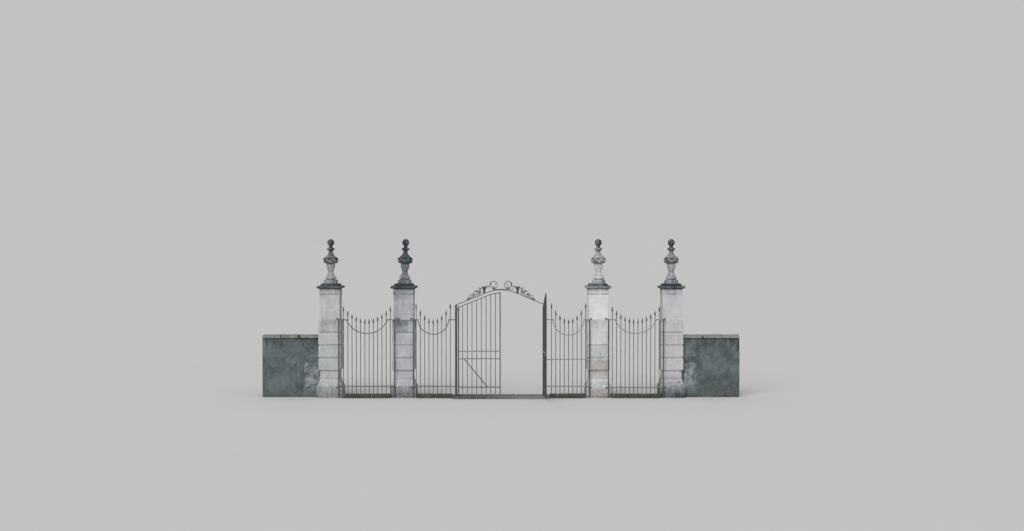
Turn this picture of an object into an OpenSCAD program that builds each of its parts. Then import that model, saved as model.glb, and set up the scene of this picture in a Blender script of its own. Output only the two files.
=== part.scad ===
// Wrought iron driveway gate hung between stone piers.
// Two leaves with heel pivots, a fixed overthrow with scrolls, four swag-topped
// side panels, four rusticated piers with urns, and the stubs of the wing walls.
// Origin: middle of the gateway, on the underside of the threshold, in the
// plane of the ironwork. +X right and +Y to the far side, as seen from the
// garden. +Z up. Millimetres.

/* [Layout] */
// Distance from the middle of the gateway to the centre of each inner pier
inner_pier_x = 2640; // [2600:10:2700]
// Distance from the middle of the gateway to the centre of each outer pier
outer_pier_x = 4640; // [4600:10:4680]
// Distance from the plane of the ironwork back to the centres of the piers
pier_y = 370; // [370:5:420]
// Distance from the middle of the gateway to the centre of each hinge post
post_x = 1210; // [1200:5:1220]
// Swing of the right leaf as it stands, 0 is closed
right_open = 92.5; // [0:0.5:95]

/* [Piers] */
// Width of the plinth and of the cornice slab
plinth_w = 700; // [690:2:700]
// Height of the plinth below its moulding
plinth_h = 300; // [280:5:300]
// Width of the narrow course above the base
course_w = 524; // [510:2:540]
// Width of the rusticated blocks
block_w = 618; // [604:2:640]
// Height of each rusticated block
block_h = 345; // [345:1:345]
// Number of rusticated blocks in a pier
block_n = 4; // [4:1:4]
// Width of the smooth upper block
upper_w = 544; // [530:2:556]
// Radius of the urn's bulge
urn_r = 202; // [190:2:210]

/* [Ironwork] */
// Thickness of the square bars
bar_t = 18; // [14:1:22]
// Width of the hinge posts
post_w = 56; // [50:2:60]
// Height of the hinge posts' tops
post_top = 2530; // [2525:5:2545]
// Height of the overthrow's rail at its crown
arch_z0 = 2925; // [2910:5:2940]
// Slope of the overthrow's straight flanks, in degrees
arch_slope = 22.1; // [21:0.1:23]
// Height of the side panels' bottom rails
bottom_rail_z = 316; // [300:2:330]
// Height of the outer right panel's bottom rail, which sits lower
low_rail_z = 284; // [276:2:316]
// Height of the leaves' bottom rails
leaf_rail_z = 294; // [280:2:330]
// Height of the upper lock rail of the leaves
lock_rail_z = 1264; // [1240:2:1300]
// Height of the lower lock rail of the leaves
lower_lock_rail_z = 1062; // [1040:2:1100]
// Height of the inner right panel's middle rail
mid_rail_z = 1044; // [1030:2:1080]
// Height of the short rails beside each swag
shoulder_z = 2117; // [2110:1:2117]
// Distance between the bars of the leaves
leaf_pitch = 126.5; // [124:0.5:127]
// Distance between the bars of the side panels
panel_pitch = 115.2; // [112:0.2:116]

/* [Base] */
// Height of the stone threshold in the opening
threshold_h = 60; // [50:5:70]
// Height of the stone kerbs below the side panels
kerb_h = 110; // [100:5:120]

/* [Wing walls] */
// Length of each wing wall that is built
wing_l = 1500; // [1200:50:2000]
// Thickness of the wing walls
wing_t = 350; // [300:10:400]
// Height of the wing walls below their coping
wing_h = 1600; // [1520:10:1650]

/* [Hidden] */
$fn = 48;

stone_c = "#cfcbc2";
plaster_c = "#b3b8ba";
iron_c = "#46504e";
edge_c = "#5c6664";

base_top = 510;
course_top = 730;
blocks_top = course_top + block_n * block_h;
upper_top = 2790;
cap_top = 3085;
stile_off = 254;
stile_w = 30;
axis_x = post_x - 65;
leaf_gap = 14;
meet_w = 30;
heel_w = 36;
inner_c = 1829;
outer_c = 3646;
outer_c_left = 3620;
// how far the uprights beside the piers are set off, outward being more:
// before the inner pier, behind it, before the outer pier
set_left = [-21, -19, 0];
set_right = [11, 16, 7];

// ---------- shared shapes ----------

// A square-plan solid from a list of [half width, height], bottom to top:
// the mitred overlap of the same moulding run in both directions.
module square_solid(p) {
  d = 2 * max([for (q = p) q[0]]) + 2;
  o = concat(p, [for (i = [len(p) - 1 : -1 : 0]) [-p[i][0], p[i][1]]]);
  intersection() {
    rotate([90, 0, 0]) linear_extrude(height = d, center = true) polygon(o);
    rotate([90, 0, 90]) linear_extrude(height = d, center = true) polygon(o);
  }
}

// A flat shape drawn in X and Z, with a thickness t centred on the gate's plane
module upright(t, y = 0) {
  translate([0, y, 0]) rotate([90, 0, 0]) linear_extrude(height = t, center = true) children();
}

// A box from its low corner to its high corner
module box(a, b) { translate(a) cube([b[0] - a[0], b[1] - a[1], b[2] - a[2]]); }

// ---------- masonry ----------

module pier_base(x) {
  c = course_w / 2;
  h = plinth_w / 2;
  color(stone_c) translate([x, pier_y, 0])
    square_solid([[h, 0], [h, plinth_h - 4], [h - 5, plinth_h + 6], [h - 14, plinth_h + 26],
      [h - 34, plinth_h + 62], [h - 54, plinth_h + 106], [h - 68, plinth_h + 154],
      [c + 8, base_top - 18], [c + 8, base_top]]);
}

module pier_shaft(x) {
  c = course_w / 2;
  b = block_w / 2;
  u = upper_w / 2;
  blocks = [for (i = [0 : block_n - 1]) let (z = course_top + i * block_h)
    each [[b - 22, z], [b - 22, z + 8], [b, z + 22], [b, z + block_h - 22], [b - 22, z + block_h - 8]]];
  color(stone_c) translate([x, pier_y, 0])
    square_solid(concat([[c, base_top], [c, course_top]], blocks,
      [[b - 22, blocks_top], [u, blocks_top + 14], [u, upper_top]]));
}

module pier_cap(x) {
  u = upper_w / 2;
  h = plinth_w / 2;
  color(stone_c) translate([x, pier_y, 0])
    square_solid([[u, upper_top], [u + 8, upper_top + 10], [u + 8, upper_top + 118],
      [u + 14, upper_top + 124], [u + 14, upper_top + 136], [u + 2, upper_top + 142],
      [u + 2, upper_top + 154], [u + 30, upper_top + 158], [u + 52, upper_top + 166],
      [h - 6, upper_top + 176], [h, upper_top + 182], [h, upper_top + 224], [h - 8, upper_top + 232],
      [257, upper_top + 238], [257, cap_top - 8], [249, cap_top]]);
}

// The urn of a pier, set over by off and leaning by lean degrees, as found
module pier_urn(x, off = 0, lean = 0) {
  k = urn_r / 202;
  ball = [for (a = [-60 : 12 : 84]) [98 * cos(a), 4200 + 98 * sin(a)]];
  color(stone_c) translate([x + off, pier_y, 0]) union() {
    square_solid([[175, cap_top], [175, cap_top + 90], [166, cap_top + 105]]);
    translate([0, 0, 3185]) rotate([0, lean, 0]) translate([0, 0, -3185]) rotate_extrude($fn = 64) polygon(concat(
      [[0, 3185], [124, 3185], [124, 3212], [150, 3216], [155, 3228], [154, 3244], [142, 3262],
       [118, 3290], [98, 3325], [84, 3362], [74, 3400], [74, 3432], [90, 3444], [90, 3458],
       [104, 3490], [115, 3530], [122, 3566], [122, 3598], [114, 3606], [114, 3630],
       [166 * k, 3646], [190 * k, 3672], [202 * k, 3706], [202 * k, 3734], [192 * k, 3766],
       [168 * k, 3794], [148, 3812], [126, 3832], [104, 3850], [84, 3872], [70, 3898],
       [62, 3929], [57, 3966], [58, 3984], [90, 3992], [107, 4006], [107, 4040], [92, 4054],
       [60, 4064], [50, 4080], [50, 4108]],
      ball, [[0, 4298]]));
  }
}

module wing_wall(s) {
  p = outer_pier_x;
  b = block_w / 2;
  c = course_w / 2;
  h = plinth_w / 2;
  e = p + h + wing_l;
  color(plaster_c) mirror([s < 0 ? 1 : 0, 0, 0]) upright(wing_t, pier_y)
    polygon([[p + h, 0], [e, 0], [e, wing_h], [p + b, wing_h], [p + b, course_top + 22],
      [p + b, course_top - 1], [p + c + 10, course_top - 1], [p + c + 10, base_top + 2],
      [p + h - 65, plinth_h + 154], [p + h - 51, plinth_h + 106], [p + h - 31, plinth_h + 62],
      [p + h - 11, plinth_h + 26], [p + h, plinth_h + 6]]);
}

module wing_coping(s) {
  p = outer_pier_x;
  b = block_w / 2;
  e = p + plinth_w / 2 + wing_l;
  w = wing_t / 2 + 35;
  color(stone_c) mirror([s < 0 ? 1 : 0, 0, 0]) translate([p + b, pier_y, wing_h])
    rotate([90, 0, 90]) linear_extrude(height = e - p - b)
      polygon([[-w, 0], [w, 0], [w, 50], [40, 100], [-40, 100], [-w, 50]]);
}

module threshold() {
  x = post_x + 90;
  color(stone_c) union() {
    box([-x, -290, 0], [x, 430, threshold_h - 8]);
    box([-x, -282, threshold_h - 8.01], [x, 422, threshold_h]);
  }
}

module kerb(a, b) {
  color(stone_c) translate([min(a, b), 0, 0]) rotate([90, 0, 90])
    linear_extrude(height = abs(b - a))
      polygon([[-90, 0], [150, 0], [150, kerb_h - 12], [138, kerb_h], [-78, kerb_h], [-90, kerb_h - 12]]);
}

// ---------- ironwork shapes ----------

// A flat bar of width w along the points p
module band(p, w, t) {
  n = len(p) - 1;
  d = [for (i = [0 : n]) let (q = p[min(i + 1, n)] - p[max(i - 1, 0)]) q / norm(q)];
  upright(t) polygon(concat(
    [for (i = [0 : n]) p[i] + [-d[i][1], d[i][0]] * w / 2],
    [for (i = [n : -1 : 0]) p[i] - [-d[i][1], d[i][0]] * w / 2]));
}

// Height of a rail that follows the overthrow, crown height z0, crown radius r
function arch_at(x, z0, r) =
  let (xt = r * sin(arch_slope), a = abs(x))
  a < xt ? z0 - r + sqrt(r * r - a * a)
         : z0 - r * (1 - cos(arch_slope)) - (a - xt) * tan(arch_slope);

// A rail of height h that follows the overthrow from x0 to x1
module arch_rail(x0, x1, z0, r, h, t) {
  n = 28;
  xs = [for (i = [0 : n]) x0 + (x1 - x0) * i / n];
  upright(t) polygon(concat(
    [for (x = xs) [x, arch_at(x, z0, r) - h / 2]],
    [for (i = [n : -1 : 0]) [xs[i], arch_at(xs[i], z0, r) + h / 2]]));
}

// The leaf-shaped tip of a bar, its point at height z
module leaf_tip(x, z) {
  translate([x, 0, z]) upright(12)
    polygon([[0, 0], [-7, -24], [-14, -56], [-21, -92], [-22, -116], [-17, -142], [-8, -166],
      [-6, -182], [6, -182], [8, -166], [17, -142], [22, -116], [21, -92], [14, -56], [7, -24]]);
}

// A square bar with its leaf tip
module tipped_bar(x, z0, z1) {
  h = bar_t / 2;
  box([x - h, -h, z0], [x + h, h, z1 - 176]);
  leaf_tip(x, z1);
}

// A ring sector of flat bar, radius r at its middle, w wide, from angle a0 to a1
module arc_bar(x, z, r, w, t, a0, a1) {
  n = 20;
  translate([x, 0, z]) upright(t) polygon(concat(
    [for (i = [0 : n]) let (a = a0 + (a1 - a0) * i / n) [(r + w / 2) * cos(a), (r + w / 2) * sin(a)]],
    [for (i = [n : -1 : 0]) let (a = a0 + (a1 - a0) * i / n) [(r - w / 2) * cos(a), (r - w / 2) * sin(a)]]));
}

// A side panel on the right-hand side. xa and xb are the centres of its two
// uprights, c and n its bars, hs the swag's half width, dp its depth,
// tip and rise the tips' curve, low the bottom rail's height, mid a middle rail
// or not, post if it meets one.
module side_panel(xa, xb, c, n, hs, dp, tip0, rise, reach, low, mid, post) {
  h = bar_t / 2;
  r = (hs * hs + dp * dp) / (2 * dp);
  zc = shoulder_z - dp + r;
  x0 = post ? post_x + post_w / 2 : xa - stile_w / 2;
  x1 = xb + stile_w / 2;
  color(iron_c) union() {
    if (!post) box([xa - stile_w / 2, -14, 0], [xa + stile_w / 2, 14, 2142]);
    box([xb - stile_w / 2, -14, 0], [xb + stile_w / 2, 14, 2142]);
    box([x0, -15, low - 13], [x1, 15, low + 13]);
    box([x0, -14, shoulder_z - 12], [c - hs + 9, 14, shoulder_z + 12]);
    box([c + hs - 9, -14, shoulder_z - 12], [x1, 14, shoulder_z + 12]);
    if (mid) box([x0, -15, mid_rail_z - 12], [x1, 15, mid_rail_z + 12]);
    intersection() {
      translate([c, 0, zc]) rotate([90, 0, 0]) difference() {
        cylinder(r = r + 12, h = 26, center = true, $fn = 96);
        cylinder(r = r - 12, h = 30, center = true, $fn = 96);
      }
      box([c - hs - 20, -20, shoulder_z - dp - 20], [c + hs + 20, 20, shoulder_z + 12]);
    }
    for (i = [0 : n - 1]) {
      d = (i - (n - 1) / 2) * panel_pitch;
      tipped_bar(c + d, kerb_h, tip0 + rise * pow(d / reach, 2));
    }
  }
}

module inner_panel(s, mid) {
  mirror([s < 0 ? 1 : 0, 0, 0])
    side_panel(post_x, inner_pier_x - stile_off + (s < 0 ? set_left : set_right)[0], inner_c, 9, 415, s < 0 ? 394 : 414,
      2150, 245, 351, bottom_rail_z, mid, true);
}

module outer_panel(s) {
  mirror([s < 0 ? 1 : 0, 0, 0])
    side_panel(inner_pier_x + stile_off + (s < 0 ? set_left : set_right)[1],
      outer_pier_x - stile_off + (s < 0 ? set_left : set_right)[2], s < 0 ? outer_c_left : outer_c, 12, 554, 373, 2149, 168, 446, s < 0 ? bottom_rail_z : low_rail_z, false, false);
}

module hinge_post(s) {
  h = post_w / 2;
  color(iron_c) union() {
    box([s * post_x - h, -h, threshold_h], [s * post_x + h, h, post_top - 18]);
    translate([s * post_x, 0, post_top - 18.01]) cylinder(r1 = h, r2 = 12, h = 18.01);
  }
}

module overthrow_arch() {
  e = post_x - post_w / 2;
  color(iron_c) union() {
    arch_rail(-e, e, arch_z0, 1060, 22, 26);
    // crown bar, lost on the left beyond the foot of its ring
    box([-206, -10, arch_z0 + 9], [322, 10, arch_z0 + 25]);
    translate([330, 0, arch_z0 + 17]) sphere(r = 17, $fn = 32);
    box([254, -8, arch_at(262, arch_z0, 1060)], [270, 8, arch_z0 + 12]);
    box([-212, -13, arch_z0 - 22], [-178, 13, arch_z0 + 32]);
  }
}

// Points of an arc about [x, z] from angle a0 to a1, its radius from r0 to r1
function arc_points(x, z, r0, r1, a0, a1, n) =
  [for (i = [0 : n]) let (a = a0 + (a1 - a0) * i / n, r = r0 + (r1 - r0) * i / n) [x + r * cos(a), z + r * sin(a)]];

// Scrolls that stand on the overthrow: a ring with a stem to its eye by the
// middle, a bud tied to it, and two scrolls down each flank
module overthrow_scrolls() {
  top = arch_z0 + 25;
  color(iron_c) difference() {
   for (s = [0, 1]) mirror([s, 0, 0]) union() {
    // ring, heavy on its outer side
    arc_bar(193, top + 104, 100, 12, 15, 100, 355);
    arc_bar(193, top + 104, 102, 20, 16, -25, 110);
    band([[192, top - 2], [186, top + 34], [176, top + 70], [160, top + 106], [146, top + 132]], 13, 14);
    translate([144, 0, top + 138]) rotate([90, 0, 0]) cylinder(r = 16, h = 18, center = true);
    // tie to the bud
    band([[283, top + 60], [340, top + 57], [400, top + 62], [440, top + 70]], 11, 12);
    // bud on the flank
    let (zb = arch_at(452, arch_z0, 1060) + 8)
      translate([452, 0, zb]) upright(18)
        polygon([[-15, 0], [15, 0], [24, 22], [24, 54], [28, 88], [38, 118], [52, 144], [70, 166], [70, 180],
          [52, 184], [30, 172], [14, 164], [0, 188], [-14, 164], [-30, 172], [-52, 184], [-70, 180], [-70, 166],
          [-52, 144], [-38, 118], [-28, 88], [-24, 54], [-24, 22]]);
    // upper scroll of the flank, its back to the bud
    band(concat(arc_points(590, 2944, 26, 42, -60, 180, 20), [[553, 2905], [566, 2868], [590, 2836], [628, 2806]],
      arc_points(675, 2845, 54, 54, 262, 390, 14), arc_points(675, 2845, 53, 28, 400, 570, 16)), 15, 16);
    band([[640, arch_at(640, arch_z0, 1060)], [648, 2796]], 16, 16);
    translate([590, 0, 2936]) rotate([90, 0, 0]) cylinder(r = 14, h = 17, center = true);
    translate([670, 0, 2842]) rotate([90, 0, 0]) cylinder(r = 17, h = 17, center = true);
    // lower scroll of the flank
    band(concat([[702, 2788], [728, 2772], [756, 2746]], arc_points(800, 2758, 38, 36, 232, 400, 14),
      arc_points(800, 2758, 35, 20, 410, 560, 12)), 13, 15);
    band([[790, arch_at(790, arch_z0, 1060)], [793, 2722]], 15, 15);
    translate([798, 0, 2757]) rotate([90, 0, 0]) cylinder(r = 12, h = 16, center = true);
    // leaf that ends the scrolls by the post
    translate([846, 0, arch_at(846, arch_z0, 1060) + 9]) rotate([0, arch_slope, 0]) upright(14)
      polygon([[-24, 0], [90, 0], [108, 12], [88, 36], [56, 44], [26, 36], [-6, 24]]);
   }
   overthrow_arch();
  }
}

// Collar that holds the heel of a leaf to its post
module collar(s) {
  g = post_x - post_w / 2;
  color(edge_c) difference() {
    union() {
      translate([s * axis_x, 0, 2380]) cylinder(r = 26, h = 30);
      box([s > 0 ? axis_x : -g, -11, 2382], [s > 0 ? g : -axis_x, 11, 2408]);
    }
    translate([s * axis_x, 0, 2370]) cylinder(r = 17, h = 50);
  }
}

// Iron cup on the threshold that carries the heel's pivot
module footstep(s) {
  color(edge_c) translate([s * axis_x, 0, threshold_h]) difference() {
    union() {
      cylinder(r = 34, h = 10);
      cylinder(r = 24, h = 32);
    }
    translate([0, 0, 10]) cylinder(r = 13, h = 30);
  }
}

// An L-shaped cramp from the stile at s * stile_off back to the pier's face
module cramp(px, s, z, reach, face_y, off = 0) {
  a = px + off + s * (stile_off - stile_w / 2);
  b = px + s * reach;
  q = b + s * 10;
  translate([0, 0, z]) linear_extrude(height = 26)
    polygon([[a, -5], [b, -5], [b, face_y], [q, face_y], [q, 5], [a, 5]]);
}

module wall_cramps() {
  up = pier_y - upper_w / 2;
  lo = pier_y - plinth_w / 2;
  color(iron_c) for (m = [0, 1]) let (o = m == 1 ? set_left : set_right) mirror([m, 0, 0]) {
    cramp(inner_pier_x, -1, 2127, 195, up, o[0]);
    cramp(inner_pier_x, 1, 2127, m == 1 ? 115 : 195, up, o[1]);
    cramp(outer_pier_x, -1, 2127, 195, up, o[2]);
    cramp(inner_pier_x, -1, 268, 195, lo, o[0]);
    cramp(inner_pier_x, 1, 268, 195, lo, o[1]);
    cramp(outer_pier_x, -1, 268, 195, lo, o[2]);
  }
}

// ---------- leaves, drawn closed on the left-hand side ----------

leaf_r = arch_z0 - 85;
leaf_foot = 100;

// Rails and uprights of a leaf
module leaf_rails() {
  x0 = -axis_x;
  x1 = -leaf_gap / 2;
  arch_rail(x0, x1 - 4, leaf_r, 975, 22, 26);
  box([x0, -15, lock_rail_z - 17], [x1 - 4, 15, lock_rail_z + 17]);
  box([x0, -14, lower_lock_rail_z - 13], [x1 - 4, 14, lower_lock_rail_z + 13]);
  box([x0, -15, leaf_rail_z - 13], [x1 - 4, 15, leaf_rail_z + 13]);
}

module leaf_frame() {
  h = heel_w / 2;
  x1 = -leaf_gap / 2;
  color(iron_c) difference() {
    union() {
      leaf_rails();
      // heel, with a round journal for the collar and a pivot for the cup
      box([-axis_x - h, -h, leaf_foot], [-axis_x + h, h, 2375]);
      translate([-axis_x, 0, 2374]) cylinder(r = 16, h = 42);
      box([-axis_x - h, -h, 2415], [-axis_x + h, h, 2478]);
      translate([-axis_x, 0, 74]) cylinder(r = 12, h = 27);
      // meeting stile and its knob
      box([x1 - meet_w, -13, leaf_foot], [x1, 13, leaf_r + 9]);
      translate([x1 - meet_w / 2, 0, leaf_r + 20]) sphere(r = 15, $fn = 32);
    }
    // the collar's ring stays clear of the rails
    difference() {
      translate([-axis_x, 0, 2375]) cylinder(r = 40, h = 40);
      translate([-axis_x, 0, 2374]) cylinder(r = 16, h = 42);
    }
  }
}

// The bars between the rails, each a run of short lengths, pointed at the foot
module leaf_bars() {
  h = bar_t / 2;
  x1 = -leaf_gap / 2 - meet_w / 2;
  color(iron_c) difference() {
    for (i = [1 : 8]) {
      x = x1 - i * leaf_pitch;
      box([x - h, -h, leaf_foot + 24], [x + h, h, arch_at(x, leaf_r, 975)]);
      translate([x, 0, leaf_foot]) rotate([0, 0, 45]) cylinder(r1 = 3, r2 = h * sqrt(2), h = 24.01, $fn = 4);
    }
    leaf_rails();
  }
}

// Slanting stay on the face of a leaf
module leaf_stay() {
  h = bar_t / 2;
  a = [-985, lower_lock_rail_z - 13];
  b = [-370, leaf_rail_z + 13];
  l = sqrt(pow(b[0] - a[0], 2) + pow(b[1] - a[1], 2));
  nx = -(b[1] - a[1]) / l * 12;
  nz = (b[0] - a[0]) / l * 12;
  color(edge_c) upright(8, -h - 4)
    polygon([[a[0] - nx, a[1] - nz], [a[0] + nx, a[1]], [b[0] + nx, b[1] + nz], [b[0] - nx, b[1]]]);
}

// Lock case between the lock rails, on the far face, drawn on the left
module lock_case() {
  h = bar_t / 2;
  z0 = lower_lock_rail_z + 13;
  z1 = lock_rail_z - 17;
  x1 = -leaf_gap / 2 - meet_w;
  color(edge_c) union() {
    box([x1 - 150, h, z0 + 6], [x1, h + 34, z1 - 6]);
    translate([x1 - 60, h + 33.99, (z0 + z1) / 2 - 30]) rotate([-90, 0, 0]) cylinder(r = 17, h = 6);
  }
}

// Drop bolt in its two staples, on the far face of the left leaf, drawn up
module drop_bolt() {
  x = -leaf_gap / 2 - meet_w / 2;
  color(edge_c) union() {
    translate([x, 25, 84]) cylinder(r = 8, h = 760);
    translate([x, 25, 840]) rotate([-90, 0, 0]) translate([0, 0, -6]) cylinder(r = 14, h = 30);
    box([x - 13, 13, 190], [x + 13, 36, 214]);
    box([x - 13, 13, 640], [x + 13, 36, 664]);
  }
}

// Puts a leaf drawn closed on the left where the right leaf stands
module as_right_leaf() {
  translate([axis_x, 0, 0]) rotate([0, 0, right_open]) translate([-axis_x, 0, 0])
    mirror([1, 0, 0]) children();
}

// ---------- nodes ----------

pier_base(-outer_pier_x);  // pier_outer_left_base
pier_shaft(-outer_pier_x);  // pier_outer_left_shaft
pier_cap(-outer_pier_x);  // pier_outer_left_cap
pier_urn(-outer_pier_x);  // pier_outer_left_urn
pier_base(-inner_pier_x);  // pier_inner_left_base
pier_shaft(-inner_pier_x);  // pier_inner_left_shaft
pier_cap(-inner_pier_x);  // pier_inner_left_cap
pier_urn(-inner_pier_x, 14, 1.7);  // pier_inner_left_urn
pier_base(inner_pier_x);  // pier_inner_right_base
pier_shaft(inner_pier_x);  // pier_inner_right_shaft
pier_cap(inner_pier_x);  // pier_inner_right_cap
pier_urn(inner_pier_x, 24, -0.8);  // pier_inner_right_urn
pier_base(outer_pier_x);  // pier_outer_right_base
pier_shaft(outer_pier_x);  // pier_outer_right_shaft
pier_cap(outer_pier_x);  // pier_outer_right_cap
pier_urn(outer_pier_x);  // pier_outer_right_urn
wing_wall(-1);  // wing_wall_left
wing_wall(1);  // wing_wall_right
wing_coping(-1);  // wing_coping_left
wing_coping(1);  // wing_coping_right
threshold();
kerb(-(inner_pier_x - plinth_w / 2), -(post_x + 90));  // kerb_inner_left
kerb(post_x + 90, inner_pier_x - plinth_w / 2);  // kerb_inner_right
kerb(-(outer_pier_x - plinth_w / 2), -(inner_pier_x + plinth_w / 2));  // kerb_outer_left
kerb(inner_pier_x + plinth_w / 2, outer_pier_x - plinth_w / 2);  // kerb_outer_right
outer_panel(-1);  // panel_outer_left
inner_panel(-1, false);  // panel_inner_left
inner_panel(1, true);  // panel_inner_right
outer_panel(1);  // panel_outer_right
hinge_post(-1);  // post_left
hinge_post(1);  // post_right
overthrow_arch();
overthrow_scrolls();
collar(-1);  // collar_left
collar(1);  // collar_right
footstep(-1);  // footstep_left
footstep(1);  // footstep_right
wall_cramps();
leaf_frame();  // left_leaf_frame
leaf_bars();  // left_leaf_bars
leaf_stay();  // left_leaf_stay
drop_bolt();  // left_leaf_bolt
as_right_leaf() leaf_frame();  // right_leaf_frame
as_right_leaf() leaf_bars();  // right_leaf_bars
as_right_leaf() leaf_stay();  // right_leaf_stay
as_right_leaf() lock_case();  // right_leaf_lock
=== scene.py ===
"""Looks for a wrought iron driveway gate between stone piers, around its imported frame."""
import math
import bpy
import numpy as np
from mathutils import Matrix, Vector


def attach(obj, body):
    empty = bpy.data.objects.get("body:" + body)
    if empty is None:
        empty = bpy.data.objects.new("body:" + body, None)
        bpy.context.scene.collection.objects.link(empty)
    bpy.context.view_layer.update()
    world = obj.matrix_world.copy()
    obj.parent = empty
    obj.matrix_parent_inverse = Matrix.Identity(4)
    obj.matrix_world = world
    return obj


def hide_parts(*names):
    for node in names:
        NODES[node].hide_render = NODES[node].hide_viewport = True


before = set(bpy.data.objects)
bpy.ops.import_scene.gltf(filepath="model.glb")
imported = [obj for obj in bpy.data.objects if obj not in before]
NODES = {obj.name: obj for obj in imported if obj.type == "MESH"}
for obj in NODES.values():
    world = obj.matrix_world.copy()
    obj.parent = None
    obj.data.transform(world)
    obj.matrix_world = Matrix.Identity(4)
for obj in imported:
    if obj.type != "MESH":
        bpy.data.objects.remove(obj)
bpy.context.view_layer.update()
PI = math.pi

# ------------------------------------------------------------------ noise

def _lattice(i, j, k, seed):
    h = (i * 374761393 + j * 668265263 + k * 1440662683 + seed * 97531) & 0xFFFFFFFF
    h = ((h ^ (h >> 13)) * 1274126177) & 0xFFFFFFFF
    h = (h ^ (h >> 16)) & 0xFFFFFFFF
    return h / 4294967295.0


def noise(P, cell, seed=0):
    """Smooth noise from -1 to 1 at the points P, with features about cell metres across."""
    Q = np.asarray(P, float) / cell
    I = np.floor(Q).astype(np.int64)
    F = Q - I
    F = F * F * (3 - 2 * F)
    r = 0.0
    for a in (0, 1):
        wa = F[:, 0] if a else 1 - F[:, 0]
        for b in (0, 1):
            wb = F[:, 1] if b else 1 - F[:, 1]
            for c in (0, 1):
                wc = F[:, 2] if c else 1 - F[:, 2]
                r = r + wa * wb * wc * _lattice(I[:, 0] + a, I[:, 1] + b, I[:, 2] + c, seed)
    return r * 2 - 1


def fbm(P, cell, octaves=3, seed=0):
    r, a, s = 0.0, 1.0, 0.0
    for o in range(octaves):
        r = r + a * noise(P, cell / 2 ** o, seed + 17 * o)
        s += a
        a *= 0.5
    return r / s


def smooth(a, b, x):
    t = np.clip((np.asarray(x, float) - a) / (b - a), 0, 1)
    return t * t * (3 - 2 * t)


# ------------------------------------------------------------------ meshes

def volume_sign(v, faces):
    """Which way a closed solid's faces turn: 1 outward, -1 inward."""
    total = 0.0
    for size in (3, 4):
        F = np.array([f for f in faces if len(f) == size], int)
        if len(F):
            for i in range(1, size - 1):
                total += np.einsum("ij,ij->i", v[F[:, 0]], np.cross(v[F[:, i]], v[F[:, i + 1]])).sum()
    return 1 if total >= 0 else -1


class Mesh:
    """Collects closed solids and their point attributes, then makes one object."""

    def __init__(self, place=None):
        self.v, self.f, self.a, self.n = [], [], {}, 0
        self.place = place
        self.spots = []

    def add(self, verts, faces, **attrs):
        verts = np.asarray(verts, float).reshape(-1, 3)
        if self.place is not None:
            verts = self.place(verts)
        centre = verts.mean(0)
        if volume_sign(verts - centre, faces) < 0:
            faces = [tuple(reversed(f)) for f in faces]
        n = self.n
        self.v.append(verts)
        self.f.extend([tuple(i + n for i in f) for f in faces])
        for k in set(self.a) | set(attrs):
            have = self.a.setdefault(k, [np.zeros(n)] if n else [])
            val = attrs.get(k, 0.0)
            have.append(np.broadcast_to(np.asarray(val, float), (len(verts),)).copy())
        self.n += len(verts)

    def spot(self, *points):
        """Places where rust gathers, in the frame the mesh is drawn in."""
        P = np.array(points, float).reshape(-1, 3)
        self.spots.append(self.place(P) if self.place is not None else P)

    def points(self):
        return np.concatenate(self.v)

    def build(self, name, material, body, replaces=(), sharp=None, forged=0.0, seed=0):
        P = self.points()
        if forged:
            N = normals_of(P, self.f)
            d = noise(P, 0.016, seed) * 0.45 + noise(P, 0.07, seed + 1) * 0.55
            P = P + N * (d * forged)[:, None]
        if self.spots:
            S = np.concatenate(self.spots)
            near = np.full(len(P), 9.0)
            for q in S:
                near = np.minimum(near, np.linalg.norm(P - q, axis=1))
            extra = 0.42 * np.exp(-(near / 0.035) ** 2)
            parts = self.a.setdefault("rust", [np.zeros(self.n)])
            self.a["rust"] = [np.concatenate(parts) + extra]
        me = bpy.data.meshes.new(name)
        me.from_pydata(P.tolist(), [], self.f)
        me.validate()
        me.update()
        for k, parts in self.a.items():
            at = me.attributes.new(k, "FLOAT", "POINT")
            at.data.foreach_set("value", np.concatenate(parts).astype(np.float32))
        me.polygons.foreach_set("use_smooth", [True] * len(me.polygons))
        if sharp is not None:
            me.set_sharp_from_angle(angle=math.radians(sharp))
        o = bpy.data.objects.new(name, me)
        bpy.context.scene.collection.objects.link(o)
        me.materials.append(material)
        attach(o, body)
        if replaces:
            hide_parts(*replaces)
        return o


def normals_of(verts, faces):
    """Area-weighted vertex normals of a quad and triangle mesh."""
    v = np.asarray(verts, float)
    out = np.zeros_like(v)
    for size in (3, 4):
        F = np.array([f for f in faces if len(f) == size], int)
        if len(F):
            if size == 3:
                n = np.cross(v[F[:, 1]] - v[F[:, 0]], v[F[:, 2]] - v[F[:, 0]])
            else:
                n = np.cross(v[F[:, 2]] - v[F[:, 0]], v[F[:, 3]] - v[F[:, 1]])
            for c in range(size):
                np.add.at(out, F[:, c], n)
    return out / np.maximum(np.linalg.norm(out, axis=1, keepdims=True), 1e-12)


def grid_faces(rows, cols, wrap=True):
    """Quads between rows of cols points; wrap closes each row on itself."""
    i, j = np.meshgrid(np.arange(rows - 1), np.arange(cols if wrap else cols - 1), indexing="ij")
    i, j = i.ravel(), j.ravel()
    k = (j + 1) % cols
    return np.stack([i * cols + j, i * cols + k, (i + 1) * cols + k, (i + 1) * cols + j], 1).tolist()


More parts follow.
